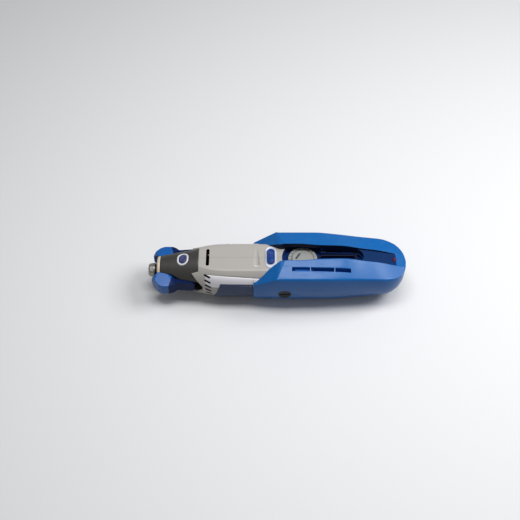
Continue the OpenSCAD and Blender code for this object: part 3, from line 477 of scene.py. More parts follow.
# One look for each material slot of the record, and for the second finish of a few pieces
looks = {
    "housing_grey": look((170, 166, 160), (164, 160, 155), (192, 188, 182), 0.42, dust=0.04),
    "shell_blue": look((0, 95, 167), (0, 89, 159), (44, 128, 194), 0.3, specular=0.34, dust=0.02),
    # painted shade: the darker floor of the groove over the bridge
    "shell_groove": look((0, 42, 90), (0, 38, 84), (16, 62, 112), 0.55, specular=0.12, dust=0.0),
    # painted shade: the dark walls of the channel and of the dial's well, and the hidden inside
    "shell_inside": look((7, 25, 62), (6, 22, 55), (22, 42, 78), 0.6, specular=0.2, dust=0.0),
    # painted shade: the slots' walls get a blue of their own, set to the tone that the shaded slots show
    "slot_navy": look((26, 90, 172), (22, 82, 160), (40, 100, 176), 0.6, specular=0.12, dust=0.0),
    "lever_blue": look((12, 88, 164), (8, 82, 156), (60, 122, 186), 0.3, specular=0.36, dust=0.02),
    "lever_band": look((2, 27, 74), (2, 24, 67), (18, 50, 102), 0.45, specular=0.12, dust=0.0),
    # painted light: the paler tone of the housing's side below the crease
    "housing_pale": look((224, 221, 226), (218, 216, 221), (234, 232, 236), 0.34, dust=0.03),
    # painted shade: the dark tone of the housing's inside and of the walls of its slots
    "housing_inside": look((22, 22, 24), (18, 18, 20), (40, 40, 42), 0.6, dust=0.0),
    # painted highlight: a pale glossy tone at the near end of the thumb dish
    "dish_gloss": look((214, 214, 220), (206, 206, 212), (230, 230, 234), 0.2, dust=0.0, coat=0.3),
    # painted shade: the darker sides and stem of the switch slider
    "switch_edge": look((14, 40, 104), (12, 36, 96), (40, 66, 130), 0.4, dust=0.0),
    # painted shade: the darker groove between the dial's knob and its rim
    "dial_rim": look((120, 118, 112), (112, 110, 105), (150, 148, 142), 0.45, dust=0.05),
    "grip_navy": look((50, 61, 92), (45, 56, 85), (66, 80, 114), 0.6, grainScale=1200.0, bump=0.5, dust=0.03),
    "nose_rubber": look((56, 54, 50), (51, 49, 46), (78, 75, 70), 0.48,
                        grainScale=1400.0, bump=0.45, dust=0.01, mottle=0.05),
    "nose_plastic": look((52, 52, 54), (48, 48, 50), (80, 80, 82), 0.45),
    "rim_beige": look((206, 190, 168), (200, 184, 162), (220, 208, 190), 0.4),
    "ring_white": look((214, 216, 220), (208, 210, 214), (230, 230, 232), 0.35),
    "button_navy": look((36, 44, 104), (32, 40, 96), (80, 90, 150), 0.4),
    "switch_blue": look((4, 56, 132), (3, 51, 122), (44, 94, 168), 0.45, specular=0.16),
    "surround_pale": look((206, 210, 224), (200, 204, 218), (226, 228, 236), 0.3, dust=0.02),
    "dial_grey": look((148, 149, 146), (140, 142, 139), (182, 182, 179), 0.4, dust=0.05),
    "mark_green": look((24, 60, 62), (22, 54, 56), (60, 90, 92), 0.45),
    "well_black": look((14, 44, 102), (12, 40, 94), (26, 58, 112), 0.7, specular=0.08, dust=0.0),
    "lamp_red": look((92, 16, 52), (84, 13, 46), (110, 34, 62), 0.45, specular=0.2, dust=0.0),
    "nut_steel": look((162, 160, 153), (150, 148, 142), (192, 190, 184), 0.42,
                      metallic=0.85, grainScale=2600.0, bump=0.15),
    "nut_collar": look((44, 44, 46), (38, 38, 40), (90, 90, 92), 0.45, bump=0.15, metallic=1.0),
    "collet_steel": look((150, 150, 150), (140, 140, 142), (190, 190, 190), 0.28, bump=0.12, metallic=1.0),
    "spindle_steel": look((150, 150, 152), (142, 142, 145), (190, 190, 190), 0.25, bump=0.1, metallic=1.0),
    "bearing_steel": look((165, 165, 168), (158, 158, 160), (200, 200, 200), 0.22, bump=0.08, metallic=1.0),
    "boot_rubber": look((26, 26, 27), (22, 22, 23), (50, 50, 50), 0.7, bump=0.4),
    "core_steel": look((92, 93, 97), (84, 85, 90), (130, 130, 134), 0.4, bump=0.2, metallic=1.0),
    "copper": look((184, 104, 58), (170, 92, 48), (214, 140, 92), 0.32, bump=0.3, metallic=1.0),
    "fan_plastic": look((36, 36, 38), (32, 32, 34), (66, 66, 68), 0.5),
    "brass_part": look((196, 158, 82), (184, 146, 72), (224, 192, 120), 0.3, bump=0.1, metallic=1.0),
    "carbon": look((30, 30, 32), (26, 26, 28), (60, 60, 62), 0.6, bump=0.4),
    "spring_steel": look((170, 170, 172), (160, 160, 162), (200, 200, 200), 0.25, bump=0.05, metallic=1.0),
    "yoke_steel": look((150, 150, 154), (142, 142, 146), (190, 190, 190), 0.35, bump=0.15, metallic=1.0),
    "switch_black": look((28, 28, 30), (24, 24, 26), (60, 60, 62), 0.45),
    "link_white": look((212, 212, 204), (204, 204, 196), (226, 226, 220), 0.45),
    "board_green": look((24, 84, 48), (20, 74, 42), (60, 120, 80), 0.35, coat=0.3),
    "pot_green": look((40, 92, 58), (34, 84, 52), (80, 130, 96), 0.4),
    "cap_black": look((16, 16, 18), (13, 13, 15), (40, 40, 42), 0.5, specular=0.3, dust=0.02),
    "gland_black": look((20, 20, 21), (17, 17, 18), (48, 48, 50), 0.65, bump=0.4),
    "screw_steel": look((120, 120, 124), (110, 110, 114), (170, 170, 172), 0.35, bump=0.1, metallic=1.0),
    "hanger_black": look((10, 20, 50), (8, 17, 44), (26, 38, 70), 0.6, specular=0.15, dust=0.0),
}
finishes = {name: finish(name, values) for name, values in looks.items()}
slotOf = {p["node"]: p["material_slot"] for p in frame["record"]["subparts"]}
for nodeName, obj in cadNodes.items():
    obj.data.materials.clear()
    obj.data.materials.append(finishes[slotOf[nodeName]])
print("finishes on", len(cadNodes), "nodes")

# Nose, levers and shaft lock

nose = {
    "rimStart": 8.2, "rimEnd": 11.0, "rimRadius": 12.2, "endRadius": 19.3, "lip": 0.4, "endGap": 0.06,
    "around": 110,
    "pocketHeights": [(0, 8.9), (22, 8.9), (29.3, 5.8), (60, 5.8)],    # half the height of a lever's space
}


def coneRadius(s):
    # straight taper from the rim to the housing
    share = (s - nose["rimEnd"]) / (tool["noseEnd"] - nose["rimEnd"])
    return nose["rimRadius"] + (nose["endRadius"] - nose["rimRadius"]) * share


def coneHeight(s, y):
    # height of the taper's surface above the axis
    return np.sqrt(np.maximum(coneRadius(s) ** 2 - y ** 2, 0))


def noseGripShape(up):
    # a closed (station, radius) outline turned between the edges of the levers' spaces, at the spaces' height
    start, end = nose["rimEnd"], tool["noseEnd"] - nose["endGap"]
    along = 60
    s = np.concatenate([start + np.array([0, 0.15, 0.5]), np.linspace(start + 1.2, end - 0.6, along),
                        [end - 0.2, end]])
    rise = np.concatenate([[0.05, 0.3, nose["lip"]], np.linspace(nose["lip"], 0.0, along), [-0.1, -0.35]])
    outer = np.stack([s, coneRadius(s) + rise], -1)
    inner = np.stack([s[::-1], np.full(len(s), nose["rimRadius"] - 0.02)], -1)
    s, r = np.concatenate([outer, inner]).T
    low = np.arcsin(np.clip(table(nose["pocketHeights"], s) / r, 0, 1))
    a = low + (math.pi - 2 * low) * np.linspace(0, 1, nose["around"])[:, None]
    z = r * np.sin(a) * (1 if up else -1)
    return closedLoft(np.stack([np.broadcast_to(s, a.shape), r * np.cos(a), z], -1), strips=True)


lock = {
    "at": 31.4, "length": 6.2, "width": 9.0, "ringBand": 2.05, "clear": 0.3,
    "pin": 1.8, "pinStart": 7.65, "pinEnd": 15.2, "headStart": 14.9,
    "holeInset": 0.8, "holeReach": (9.5, 30),
}
lockOutline = (lock["at"], lock["length"], lock["width"])
ringOutline = (lock["at"], lock["length"] + 2 * lock["ringBand"], lock["width"] + 2 * lock["ringBand"])
band = lock["ringBand"] - lock["clear"]

hole = closedLoft(stadiumRows(ringOutline, [(lock["holeInset"], h) for h in lock["holeReach"]]))
cut = cutAway("noseGrip.top", noseGripShape(True), [hole])
piece("noseGrip.top", cut, "nose_rubber", "housing", "nose_grip_top")
piece("noseGrip.bottom", noseGripShape(False), "nose_rubber", "housing", "nose_grip_bottom")

ringRows = [(0, -2.2), (0, 0.1), (0.12, 0.36), (0.42, 0.58), (0.85, 0.66), (1.25, 0.58), (1.58, 0.3),
            (band, -0.05), (band, -2.2)]
ring = ringLoft(stadiumRows(ringOutline, ringRows, coneHeight))
piece("lockRing", ring, "ring_white", "housing", "lock_button_ring")
buttonRows = [(0, 0.35), (0.15, 0.62), (0.5, 0.84), (1.0, 0.9), (1.5, 0.8), (2.2, 0.68), (2.9, 0.64)]
head = np.concatenate([stadiumRows(lockOutline, [(0, lock["headStart"])]),
                       stadiumRows(lockOutline, buttonRows, coneHeight)])
start, end, r = lock["pinStart"], lock["pinEnd"], lock["pin"]
pinProfile = [(0.01, start), (r - 0.3, start), (r, start + 0.3), (r, end), (0.01, end)]
button = joined(closedLoft(head), upright(lock["at"], pinProfile, 64))
piece("lockButton", button, "button_navy", "lock_button", "lock_button")

rimProfile = [(0, 8.0), (0, 11.25), (0.12, 11.75), (0.5, 12.12), (1.1, 12.3), (2.2, 12.34), (2.65, 12.26),
              (2.8, 12.0), (2.8, 8.0)]
rimProfile = [(nose["rimStart"] + s, r) for s, r in rimProfile]
piece("noseRim", turnedRing(rimProfile, 128), "rim_beige", "housing", "nose_rim")

nut = {"flat": 5.72, "flatsReach": (1.5, 4.4), "collarAt": 5.97, "bore": 3.97, "throat": 2.62}
nutProfile = [(0.0, 3.3), (0.0, 4.75), (0.22, 5.1), (1.2, 5.8), (1.49, 5.86), (1.55, 5.87), (2.3, 5.98),
              (3.2, 6.08), (4.35, 6.24), (4.41, 6.26), (5.3, 6.3), (5.7, 6.2), (5.95, 5.9), (6.0, 5.2),
              (8.7, 5.2), (8.9, 5.1), (9.0, 4.9), (9.0, nut["bore"]), (4.2, nut["bore"]),
              (4.2, nut["throat"]),
              (0.55, nut["throat"]), (0.2, 2.9)]


def spannerFlats(s, r, a):
    # six flats between two stations: the radius is held to the distance of a flat from the axis
    turn = (a + math.pi / 6) % (math.pi / 3) - math.pi / 6
    start, end = nut["flatsReach"]
    there = (s > start) & (s < end) & (r > nut["bore"] + 0.03)
    return np.where(there, np.minimum(r, nut["flat"] / np.cos(turn)), r)


turned = turnedRing(nutProfile, 180, 0, spannerFlats)
made = piece("colletNut", turned, "nut_steel nut_collar", "rotor", "collet_nut")
paint(made, lambda s, y, z, n: s > nut["collarAt"])

lever = {
    "tip": 3.6, "end": 42.0, "inner": 12.55, "rootY": 8.9, "rootZ": 8.6, "slope": 0.2353, "edge": 0.7,
    "out": [(3.6, 13.75), (6.8, 17.2), (9.6, 20.6), (13.2, 22.5), (20.6, 22.5), (23.1, 21.2), (26.6, 18.3),
            (40.5, 19.5), (42, 18.7)],
    "height": [(3.6, 3.4), (5.2, 5.6), (8.4, 8.5), (9.2, 8.6), (17.2, 8.6), (24.5, 5.5), (39.5, 5.4),
               (42, 3.9)],
    "outEase": 0.55, "heightEase": 0.6, "bandStart": 21.6, "bandLean": 0.25,
}


def leverShape(side):
    # at each station: out along the sloping top, round the outer side, back below, up the curved inner side
    v = lever
    tip, end = v["tip"], v["end"]
    s = np.concatenate([tip + np.array([0, 0.12, 0.35, 0.7]), np.arange(4.7, 41.4, 0.42),
                        end - np.array([0.4, 0.15, 0])])
    ease = np.interp(s, [tip, tip + 0.35, end - 0.3, end], [0.35, 0, 0, 0.3])
    yOut = softTable(v["out"], s, v["outEase"]) - ease
    zTop = softTable(v["height"], s, v["heightEase"]) - ease

    def slanted(y):
        return v["rootZ"] - (y - v["rootY"]) * v["slope"]

    zIn = np.minimum(zTop, slanted(v["rootY"]))
    zIn = np.minimum(zIn, slanted(np.sqrt(v["inner"] ** 2 - zIn ** 2)))
    yIn = np.minimum(np.sqrt(v["inner"] ** 2 - zIn ** 2), yOut - 0.5)
    yMeet = np.clip(v["rootY"] + (v["rootZ"] - zTop) / v["slope"], yIn + 0.05, yOut - 0.05)
    zMeet = np.minimum(zTop, slanted(yMeet))
    zOut = np.minimum(zTop, slanted(yOut))
    half = [(yIn, zIn), (yMeet, zMeet), (yOut, zOut)]
    corners = half + [(y, -z) for y, z in half[::-1]]
    corners = np.stack([np.stack(p, -1) for p in corners], 1)
    path = roundedPath(corners, [0, 1.2, v["edge"], v["edge"], 1.2, 0], 5, 5)
    z = zIn[:, None] * np.linspace(-1, 1, 24)[1:-1]
    inner = np.stack([np.minimum(np.sqrt(v["inner"] ** 2 - z ** 2), yOut[:, None] - 0.45), z], -1)
    loop = np.concatenate([path, inner], 1)
    loop[:, :, 0] *= side
    return closedLoft(np.concatenate([np.repeat(s[:, None, None], loop.shape[1], 1), loop], 2))


def leverPaint(s, y, z, n):
    # 1 on the dark band behind a slanting line
    return s > lever["bandStart"] - lever["bandLean"] * (np.abs(y) - 12) + 0.05 * z


for side, name in ((-1, "left"), (1, "right")):
    made = piece("lever." + name, leverShape(side), "lever_blue lever_band", "levers", "lever_" + name, 30)
    paint(made, leverPaint)
print("nose, levers and shaft lock made")

# Motor housing

shell = {
    "front": 38.7, "wall": 2.0, "edgeEase": 0.9, "ease": 3,
    "radius": [(38.7, 19.4), (45.5, 20.3), (52, 21.7), (60.5, 22.9), (70.5, 23.3), (172, 23.3)],
    # the front's edge round the levers
    "tongue": (14.4, 6.8), "notch": (14.5, 11.7 / 10.3), "notchEnd": 49,
    "creaseRun": (52.0, 98.0), "creaseAngle": (42.0, 33.8), "creaseDepth": 0.5, "creaseWidth": 1.3,
    "swell": 0.55, "swellAngle": 24,
}
topSlot = (53.7, 2.9, 18.5)    # station, length and width
vents = {"at": 53.5, "step": 0.3, "width": 1.9, "long": 6.2, "lean": 62, "firstAngle": 52, "angleStep": 13,
         "count": 5, "reach": (14.0, 27.0)}
dish = {"at": 97.1, "start": -7.5, "end": 11.5, "radius": 4.15, "tip": 3.0, "height": 21.5, "paintReach": 4.3}
switch = {"at": 109.7, "long": 6.9, "across": 16.6, "surroundLong": 9.95, "surroundAcross": 23.95,
          "stem": (110.55, 112.75), "slot": (106.75, 113.05)}
# station, height and distance of the seat from the middle plane
screws = {
    "front": ((73.8, 13.2, 14.4), (73.8, -13.2, 14.4)),
    "middle": ((122.0, -14.0, 17.1), (162.0, -16.0, 15.4)),
    "tail": ((210.0, 7.5, 13.8), (208.0, -11.5, 13.8)),
    "hole": 3.05, "holeInset": 3, "holeEnd": 40,
}


def screwBore(s, z, seat):
    # a straight hole for the driver, from inside the seat out through the right side
    return crossBar(s, z, seat - screws["holeInset"], screws["holeEnd"], screws["hole"], 0.01)


def creaseAngle(s):
    # the crease falls in a straight line along the side
    return np.interp(s, shell["creaseRun"], shell["creaseAngle"])


def housingRadius(s, a):
    # the smaller of the round body and the flat top, eased where they meet, with a crease and a swelling
    v = shell
    below = creaseAngle(s) - np.degrees(a)
    start, end = v["creaseRun"]
    along = np.clip((s - start) / 5, 0, 1) * np.clip((end + 6 - s) / 6, 0, 1)
    share = np.clip(below / v["swellAngle"], 0, 1)
    swell = np.where((below > 0) & (below < v["swellAngle"]), np.sin(share ** 0.6 * math.pi), 0)
    groove = np.maximum(0, 1 - np.abs(below) / v["creaseWidth"])
    r = softTable(v["radius"], s, v["ease"]) + along * (v["swell"] * swell - v["creaseDepth"] * groove)
    flat = tool["flatTop"] / np.maximum(np.sin(a), 1e-3)
    k = v["edgeEase"]
    h = np.clip(0.5 + 0.5 * (flat - r) / k, 0, 1)
    return flat * (1 - h) + r * h - k * h * (1 - h)


def housingFront(a):
    # the first station from which the skin runs on without a break, at each angle: it keeps outside a line
    # beside the levers as far as the nose, and above or below a notch
    v = shell
    s = np.arange(v["front"], 49.2, 0.02)
    r = softTable(v["radius"], s, v["ease"])
    y, z = r * np.cos(a[:, None]), np.abs(r * np.sin(a[:, None]))
    beside = (y > v["tongue"][0] - (s - v["front"]) / v["tongue"][1]) | (s >= tool["noseEnd"])
    aboveNotch = (z > v["notch"][0] - (s - v["front"]) * v["notch"][1]) | (s >= v["notchEnd"])
    bad = ~(beside & aboveNotch)
    last = s.size - 1 - np.argmax(bad[:, ::-1], 1)
    return np.where(bad.any(1), s[np.minimum(last + 1, s.size - 1)], v["front"])


def housingShape(side):
    # columns run from the top seam round the side to the bottom seam. Each is a closed loop of station and
    # radius, and its rear end follows the dial's well.
    runs = [(90, 58, 34), (58, 30, 92), (30, -32, 60), (-32, -58, 80), (-58, -90, 24), (-40.2, -44.8, 2)]
    degrees = np.round(np.concatenate([np.linspace(*run) for run in runs]), 3)
    a = np.radians(np.unique(degrees)[::-1])
    front = housingFront(a)
    y = tool["bodyRadius"] * np.cos(a)
    seen = (a > 0) & (y < tool["wellRadius"] - 0.02)
    flatY = np.minimum(y, tool["flatTop"] / np.maximum(np.tan(a), 1e-3))
    across = np.where(a > 0.3, flatY, y)
    well = tool["dialAt"] - np.sqrt(np.maximum(0, tool["wellRadius"] ** 2 - across ** 2))
    rear = np.where(seen, well, tool["housingEnd"])

    def endCap(edge, sign):
        # two points that round the skin into the cut edge
        steps = [(edge + sign * 0.03, -0.35), (edge + sign * 0.12, -0.13)][::sign]
        return np.stack([np.stack([e, housingRadius(e, a) + d], -1) for e, d in steps], 1)

    t = np.concatenate([np.linspace(0, 0.16, 16, endpoint=False), np.linspace(0.16, 0.8, 44, endpoint=False),
                        np.linspace(0.8, 1, 20)])
    s = front[:, None] + 0.35 + (rear - front - 0.7)[:, None] * t
    sIn = front[:, None] + (rear - front)[:, None] * np.linspace(1, 0, 30)
    outer = np.stack([s, housingRadius(s, a[:, None])], -1)
    inner = np.stack([sIn, housingRadius(sIn, a[:, None]) - shell["wall"]], -1)
    ring = np.concatenate([endCap(front, 1), outer, endCap(rear, -1), inner], 1)
    y = np.maximum(ring[:, :, 1] * np.cos(a)[:, None], 0.02)
    return closedLoft(np.stack([ring[:, :, 0], side * y, ring[:, :, 1] * np.sin(a)[:, None]], -1))


def sideSlot(side, index):
    # a small slanted stadium pushed out through the side, turned about the axis to its place
    v = vents
    loop = stadiumLoop(v["width"], v["long"], 0, 4, 10)
    lean = math.radians(v["lean"]) * side
    turn = math.radians(side * (v["firstAngle"] + v["angleStep"] * index))
    s = v["at"] + v["step"] * index + loop[:, 0] * math.cos(lean) - loop[:, 1] * math.sin(lean)
    y = loop[:, 0] * math.sin(lean) + loop[:, 1] * math.cos(lean)
    c, d = math.cos(turn), math.sin(turn)
    return closedLoft(np.stack([np.stack([s, y * c - h * d, y * d + h * c], -1) for h in v["reach"]]))


def dishCutter():
    # a half ball drawn out into a cone across the tool, turned about a line above the flat top
    v = dish
    a = np.linspace(0, math.pi / 2, 14)
    ball = np.stack([v["radius"] * np.sin(a), v["start"] - v["radius"] * np.cos(a)], -1)
    cone = np.stack([np.linspace(v["radius"], v["tip"], 24), np.linspace(v["start"], v["end"], 24)], -1)
    prof = np.concatenate([ball, cone[1:]])
    prof[0, 0] = 0.01
    turn = fullTurn(72)
    r, y = prof[:, :1], np.repeat(prof[:, 1:], 72, 1)
    return closedLoft(np.stack([v["at"] + r * np.cos(turn), y, v["height"] + r * np.sin(turn)], -1))


def housingCutters(side):
    # top slot, thumb dish, seat of the switch's surround and side slots, and on the right the screw holes
    seat = (switch["at"], switch["surroundLong"] - 0.5, switch["surroundAcross"] - 0.5)
    cutters = [closedLoft(stadiumRows(topSlot, [(0, 12), (0, 22)])), dishCutter(),
               closedLoft(stadiumRows(seat, [(0, 12), (0, 24)]))]
    cutters += [sideSlot(-side, i) for i in range(vents["count"])]
    if side > 0:
        cutters += [screwBore(*screw) for screw in screws["front"] + screws["middle"]]
    return cutters


def housingPaint(s, y, z, n):
    # 0 skin, 1 side below the crease painted paler as painted light, 2 inside and slots painted dark as
    # painted shade, 3 near end of the dish painted pale and glossy as a painted highlight
    r, a = np.hypot(y, z), np.arctan2(z, np.abs(y))
    # faces below the skin, the inside and the walls of the slots, are painted dark as painted shade, except
    # the cut edges of the front
    skin = r > housingRadius(s, a) - 0.3
    # the side below the crease is painted paler, as painted light
    pale = skin & (np.degrees(a) < creaseAngle(s) - 0.6) & (np.degrees(a) > 10) & (s > shell["creaseRun"][0])
    inward = n[:, 1] * y + n[:, 2] * z < -0.5 * r
    edge = (s < shell["notchEnd"] + 0.5) & ~inward    # the cut edges of the front look like the skin
    reach = dish["paintReach"]
    inDish = (np.abs(s - dish["at"]) < reach) & (z > 16.9) & (z < tool["flatTop"] - 0.04)
    inDish &= (y > dish["start"] - reach) & (y < dish["end"] + 3)
    # the near end of the dish carries the painted highlight, and the rest of the dish keeps the skin's tone
    nearEnd = inDish & (y < dish["start"] - 1.2)
    return np.where(nearEnd, 3, np.where(inDish, 0, np.where(pale, 1, np.where(skin | edge, 0, 2))))


for side, name in ((-1, "left"), (1, "right")):
    cut = cutAway("housing." + name, housingShape(side), housingCutters(side))
    made = piece("housing." + name, cut, "housing_grey housing_pale housing_inside dish_gloss", "housing",
                 "housing_" + name)
    paint(made, housingPaint)
print("housing made")

grip = {"start": 59.05, "end": 94.2, "slant": 6.0, "slantHeights": (-11.65, 8.4), "top": 8.35, "outer": 23.8,
        "inner": 22.4, "ribPitch": 2.8, "ribDepth": 0.45, "border": 1.4, "boreSeat": 13.0}


def gripShape():
    # a band round the belly: columns run from one upper edge under the tool to the other, ribs lean along it
    v = grip
    top = math.degrees(math.asin(v["top"] / v["outer"]))
    a = np.radians(np.linspace(top, -180 - top, 230))
    low, high = v["slantHeights"]
    front = v["start"] + v["slant"] * np.clip((v["outer"] * np.sin(a) - low) / (high - low), 0, 1)
    end = np.full(len(a), v["end"])
    s = front[:, None] + 0.3 + (end - front - 0.6)[:, None] * np.linspace(0, 1, 110)
    arc = v["outer"] * np.abs(a + math.pi / 2)[:, None]
    wave = np.abs(np.sin((s + 0.6 * arc) * math.pi / v["ribPitch"]))
    below = v["outer"] * np.minimum(a[0] - a, a - a[-1])[:, None]
    margin = np.minimum(np.minimum(s - front[:, None], v["end"] - s), below)
    inset = np.clip((margin - v["border"]) / 0.5, 0, 1)
    rim = np.clip(margin / 0.5, 0, 1) ** 0.5
    r = v["outer"] - 0.3 * (1 - rim) - v["ribDepth"] * inset * (1 - wave)
    ground = tool["axisHeight"] / np.maximum(-np.sin(a), 1e-3)[:, None]
    r = np.minimum(r, np.where(np.sin(a)[:, None] < 0, ground, 99))
    edges = [np.stack([np.stack([e, np.full(len(a), r)], -1) for r in (v["inner"], v["outer"] - 0.55)], 1)
             for e in (front, end)]
    ring = np.concatenate([edges[0], np.stack([s, r], -1), edges[1][:, ::-1]], 1)
    y, z = -ring[:, :, 1] * np.cos(a)[:, None], ring[:, :, 1] * np.sin(a)[:, None]
    return closedLoft(np.stack([ring[:, :, 0], y, z], -1))


cut = cutAway("bellyGrip", gripShape(), [screwBore(*screws["front"][1][:2], grip["boreSeat"])])
piece("bellyGrip", cut, "grip_navy", "housing", "belly_grip")

# Switch

surroundOutline = (switch["at"], switch["surroundLong"], switch["surroundAcross"])
surroundRows = [(0, -1.2), (0, 0.2), (0.08, 0.42), (0.35, 0.6), (0.75, 0.66), (1.15, 0.58), (1.45, 0.36),
                (1.7, 0.26), (2.6, 0.22), (4.6, 0.22)]
stemSlot = box((switch["slot"][0], -3.6, 10), (switch["slot"][1], 3.6, 30))
surround = closedLoft(stadiumRows(surroundOutline, surroundRows, tool["flatTop"]))
cut = cutAway("switchSurround", surround, [stemSlot])
piece("switchSurround", cut, "surround_pale", "housing", "switch_surround")


def thumbRibs(y, inset):
    # low ridges across the middle of the slider
    return 0.14 * np.cos(2 * math.pi * y / 1.5) * (inset > 1.3) * (np.abs(y) < 6.2)


sliderOutline = (switch["at"], switch["long"], switch["across"])
sliderRows = [(0, 0.8), (0, 1.7), (0.12, 2.05), (0.4, 2.3), (0.75, 2.34), (1.1, 2.1), (1.45, 1.95),
              (1.9, 2.2),
              (2.4, 2.38), (3.0, 2.42), (3.4, 2.42)]
slider = closedLoft(stadiumRows(sliderOutline, sliderRows, tool["flatTop"], thumbRibs))
stem = box((switch["stem"][0], -3, 16.4), (switch["stem"][1], 3, 19.5))
made = piece("switchSlider", joined(slider, stem), "switch_blue switch_edge", "switch", "switch_slider")
# the slider's sides and stem are painted darker, as painted shade
paint(made, lambda s, y, z, n: (z < tool["flatTop"] + 2) | (n[:, 2] < 0.6))
print("switch and grip band made")

# Speed dial

dial = {"radius": 13.0, "pivot": 2.4, "ridges": 20, "ridgeRise": 0.85, "ridgeStart": 10.35, "low": 14.1,
        "discTop": 16.0, "knobTop": 16.92, "grooveBand": (9.6, 10.4)}
dialProfile = [(0.01, 9.2), (dial["pivot"], 9.2), (dial["pivot"], dial["low"]), (12.7, dial["low"]),
               (dial["radius"], dial["low"] + 0.3), (dial["radius"], 15.7), (12.95, 15.97)]
dialProfile += [(r, dial["discTop"]) for r in (12.7, 12.5, 12.2, 11.6, 11.0, 10.7, 10.5)]
dialProfile += [(dial["ridgeStart"], 15.98), (10.1, 15.8), (9.75, 15.75), (9.5, 15.85), (9.42, 16.3),
                (9.38, 16.6), (9.2, 16.84), (8.9, dial["knobTop"]), (8.3, dial["knobTop"]), (8.0, 16.8),
                (7.6, 16.78), (4.0, 16.8), (0.01, 16.8)]


def dialRidges(r, z, a):
    # the rim's top rises and falls round the dial
    v = dial
    wave = np.clip(np.cos(v["ridges"] * a), 0, 1) ** 0.6
    share = np.clip((r - v["ridgeStart"]) / 0.35, 0, 1) * np.clip((v["radius"] - 0.02 - r) / 0.25, 0, 1)
    return z + np.where(z > v["discTop"] - 0.05, v["ridgeRise"] * wave * share, 0)


def dialPaint(s, y, z, n):
    # 1 in the groove between knob and rim, painted darker as painted shade
    r = np.hypot(s - tool["dialAt"], y)
    return (r > dial["grooveBand"][0]) & (r < dial["grooveBand"][1])


made = piece("speedDial", upright(tool["dialAt"], dialProfile, 300, dialRidges), "dial_grey dial_rim", "dial",
             "speed_dial", 30)
paint(made, dialPaint)

# Hanger, brush caps, gland and lamp

hanger = {"at": 185.1, "front": 156.1, "height": 15.6, "middle": 4.0, "halfWide": 1.0, "halfHigh": 1.1,
          "square": 0.55, "barRadius": 1.6, "pin": 1.3, "pinEnd": 10.75}


def hangerShape():
    # a rounded section carried along a U in plan, with its pivot bar
    v = hanger
    a = np.linspace(math.pi / 2, 3 * math.pi / 2, 40)
    bend = np.stack([v["front"] + v["middle"] * np.cos(a), v["middle"] * np.sin(a)], -1)
    legs = np.linspace(v["at"], v["front"], 30)[:-1]
    middle = np.full(len(legs), v["middle"])
    path = np.concatenate([np.stack([legs, middle], -1), bend, np.stack([legs[::-1], -middle], -1)])
    way = np.gradient(path, axis=0)
    way /= np.linalg.norm(way, axis=1, keepdims=True)
    across = np.stack([-way[:, 1], way[:, 0]], -1)
    c, d = np.cos(fullTurn(24)), np.sin(fullTurn(24))
    wide = v["halfWide"] * np.sign(c) * np.abs(c) ** v["square"]
    high = v["halfHigh"] * np.sign(d) * np.abs(d) ** v["square"]
    flatPart = path[:, None] + across[:, None] * wide[None, :, None]
    loops = np.concatenate([flatPart, np.broadcast_to(v["height"] + high, flatPart.shape[:2])[..., None]], -1)
    bars = [crossBar(v["at"], v["height"], -5, 5, v["barRadius"])]
    bars += [crossBar(v["at"], v["height"], side * 4, side * v["pinEnd"], v["pin"]) for side in (-1, 1)]
    return joined(closedLoft(loops), *bars)


piece("hangerBail", hangerShape(), "hanger_black", "hanger", "hanger_bail")

cap = {"at": 122.0, "radius": 5.5, "start": 23.35, "end": 27.35,
       "slotHalf": 0.6, "slotLong": 4.4, "slotReach": (26.0, 30.0)}


def capShape(side):
    # a disc turned about a line across the tool, with an eased rim and a shallow dished face
    r, start, end = cap["radius"], cap["start"], cap["end"]
    rows = np.array([(0.01, start), (r - 0.1, start), (r, start + 0.1), (r, end - 0.4),
                     (r - 0.12, end - 0.12),
                     (r - 0.4, end), (r - 1, end), (r - 1.3, end - 0.15), (0.01, end - 0.2)])
    a = fullTurn(72)
    r, y = rows[:, :1], rows[:, 1:] + 0 * a
    return closedLoft(np.stack([cap["at"] + r * np.cos(a), side * y, r * np.sin(a)], -1))


def capSlot(side):
    # the slot for a coin, open to the outside
    inner, outer = sorted(side * reach for reach in cap["slotReach"])
    at, long, half = cap["at"], cap["slotLong"], cap["slotHalf"]
    return box((at - long, inner, -half), (at + long, outer, half))


caps = cutAway("brushCaps", joined(capShape(-1), capShape(1)), [capSlot(-1), capSlot(1)])
piece("brushCaps", caps, "cap_black", "housing", "brush_caps")

gland = {"height": -4.0, "hole": 6.62}
glandProfile = [(214.0, 3.6), (214.0, 8.9), (217.0, 8.9), (217.0, 6.5), (227.3, 6.5), (227.9, 6.4),
                (228.4, 5.9), (228.6, 5.3), (228.6, 4.4), (228.4, 3.9), (227.9, 3.6)]
piece("cordGland", turnedRing(glandProfile, 80, gland["height"]), "gland_black", "housing", "cord_gland")
lampAt = 219.5
lampProfile = [(0.01, 13.0), (1.9, 13.0), (1.9, 15.3), (1.82, 15.6), (1.6, 15.85), (1.2, 16.05), (0.6, 16.16),
               (0.01, 16.2)]
piece("powerLamp", upright(lampAt, lampProfile, 48), "lamp_red", "housing", "power_lamp")
print("dial, hanger and small parts made")

# Rear shells

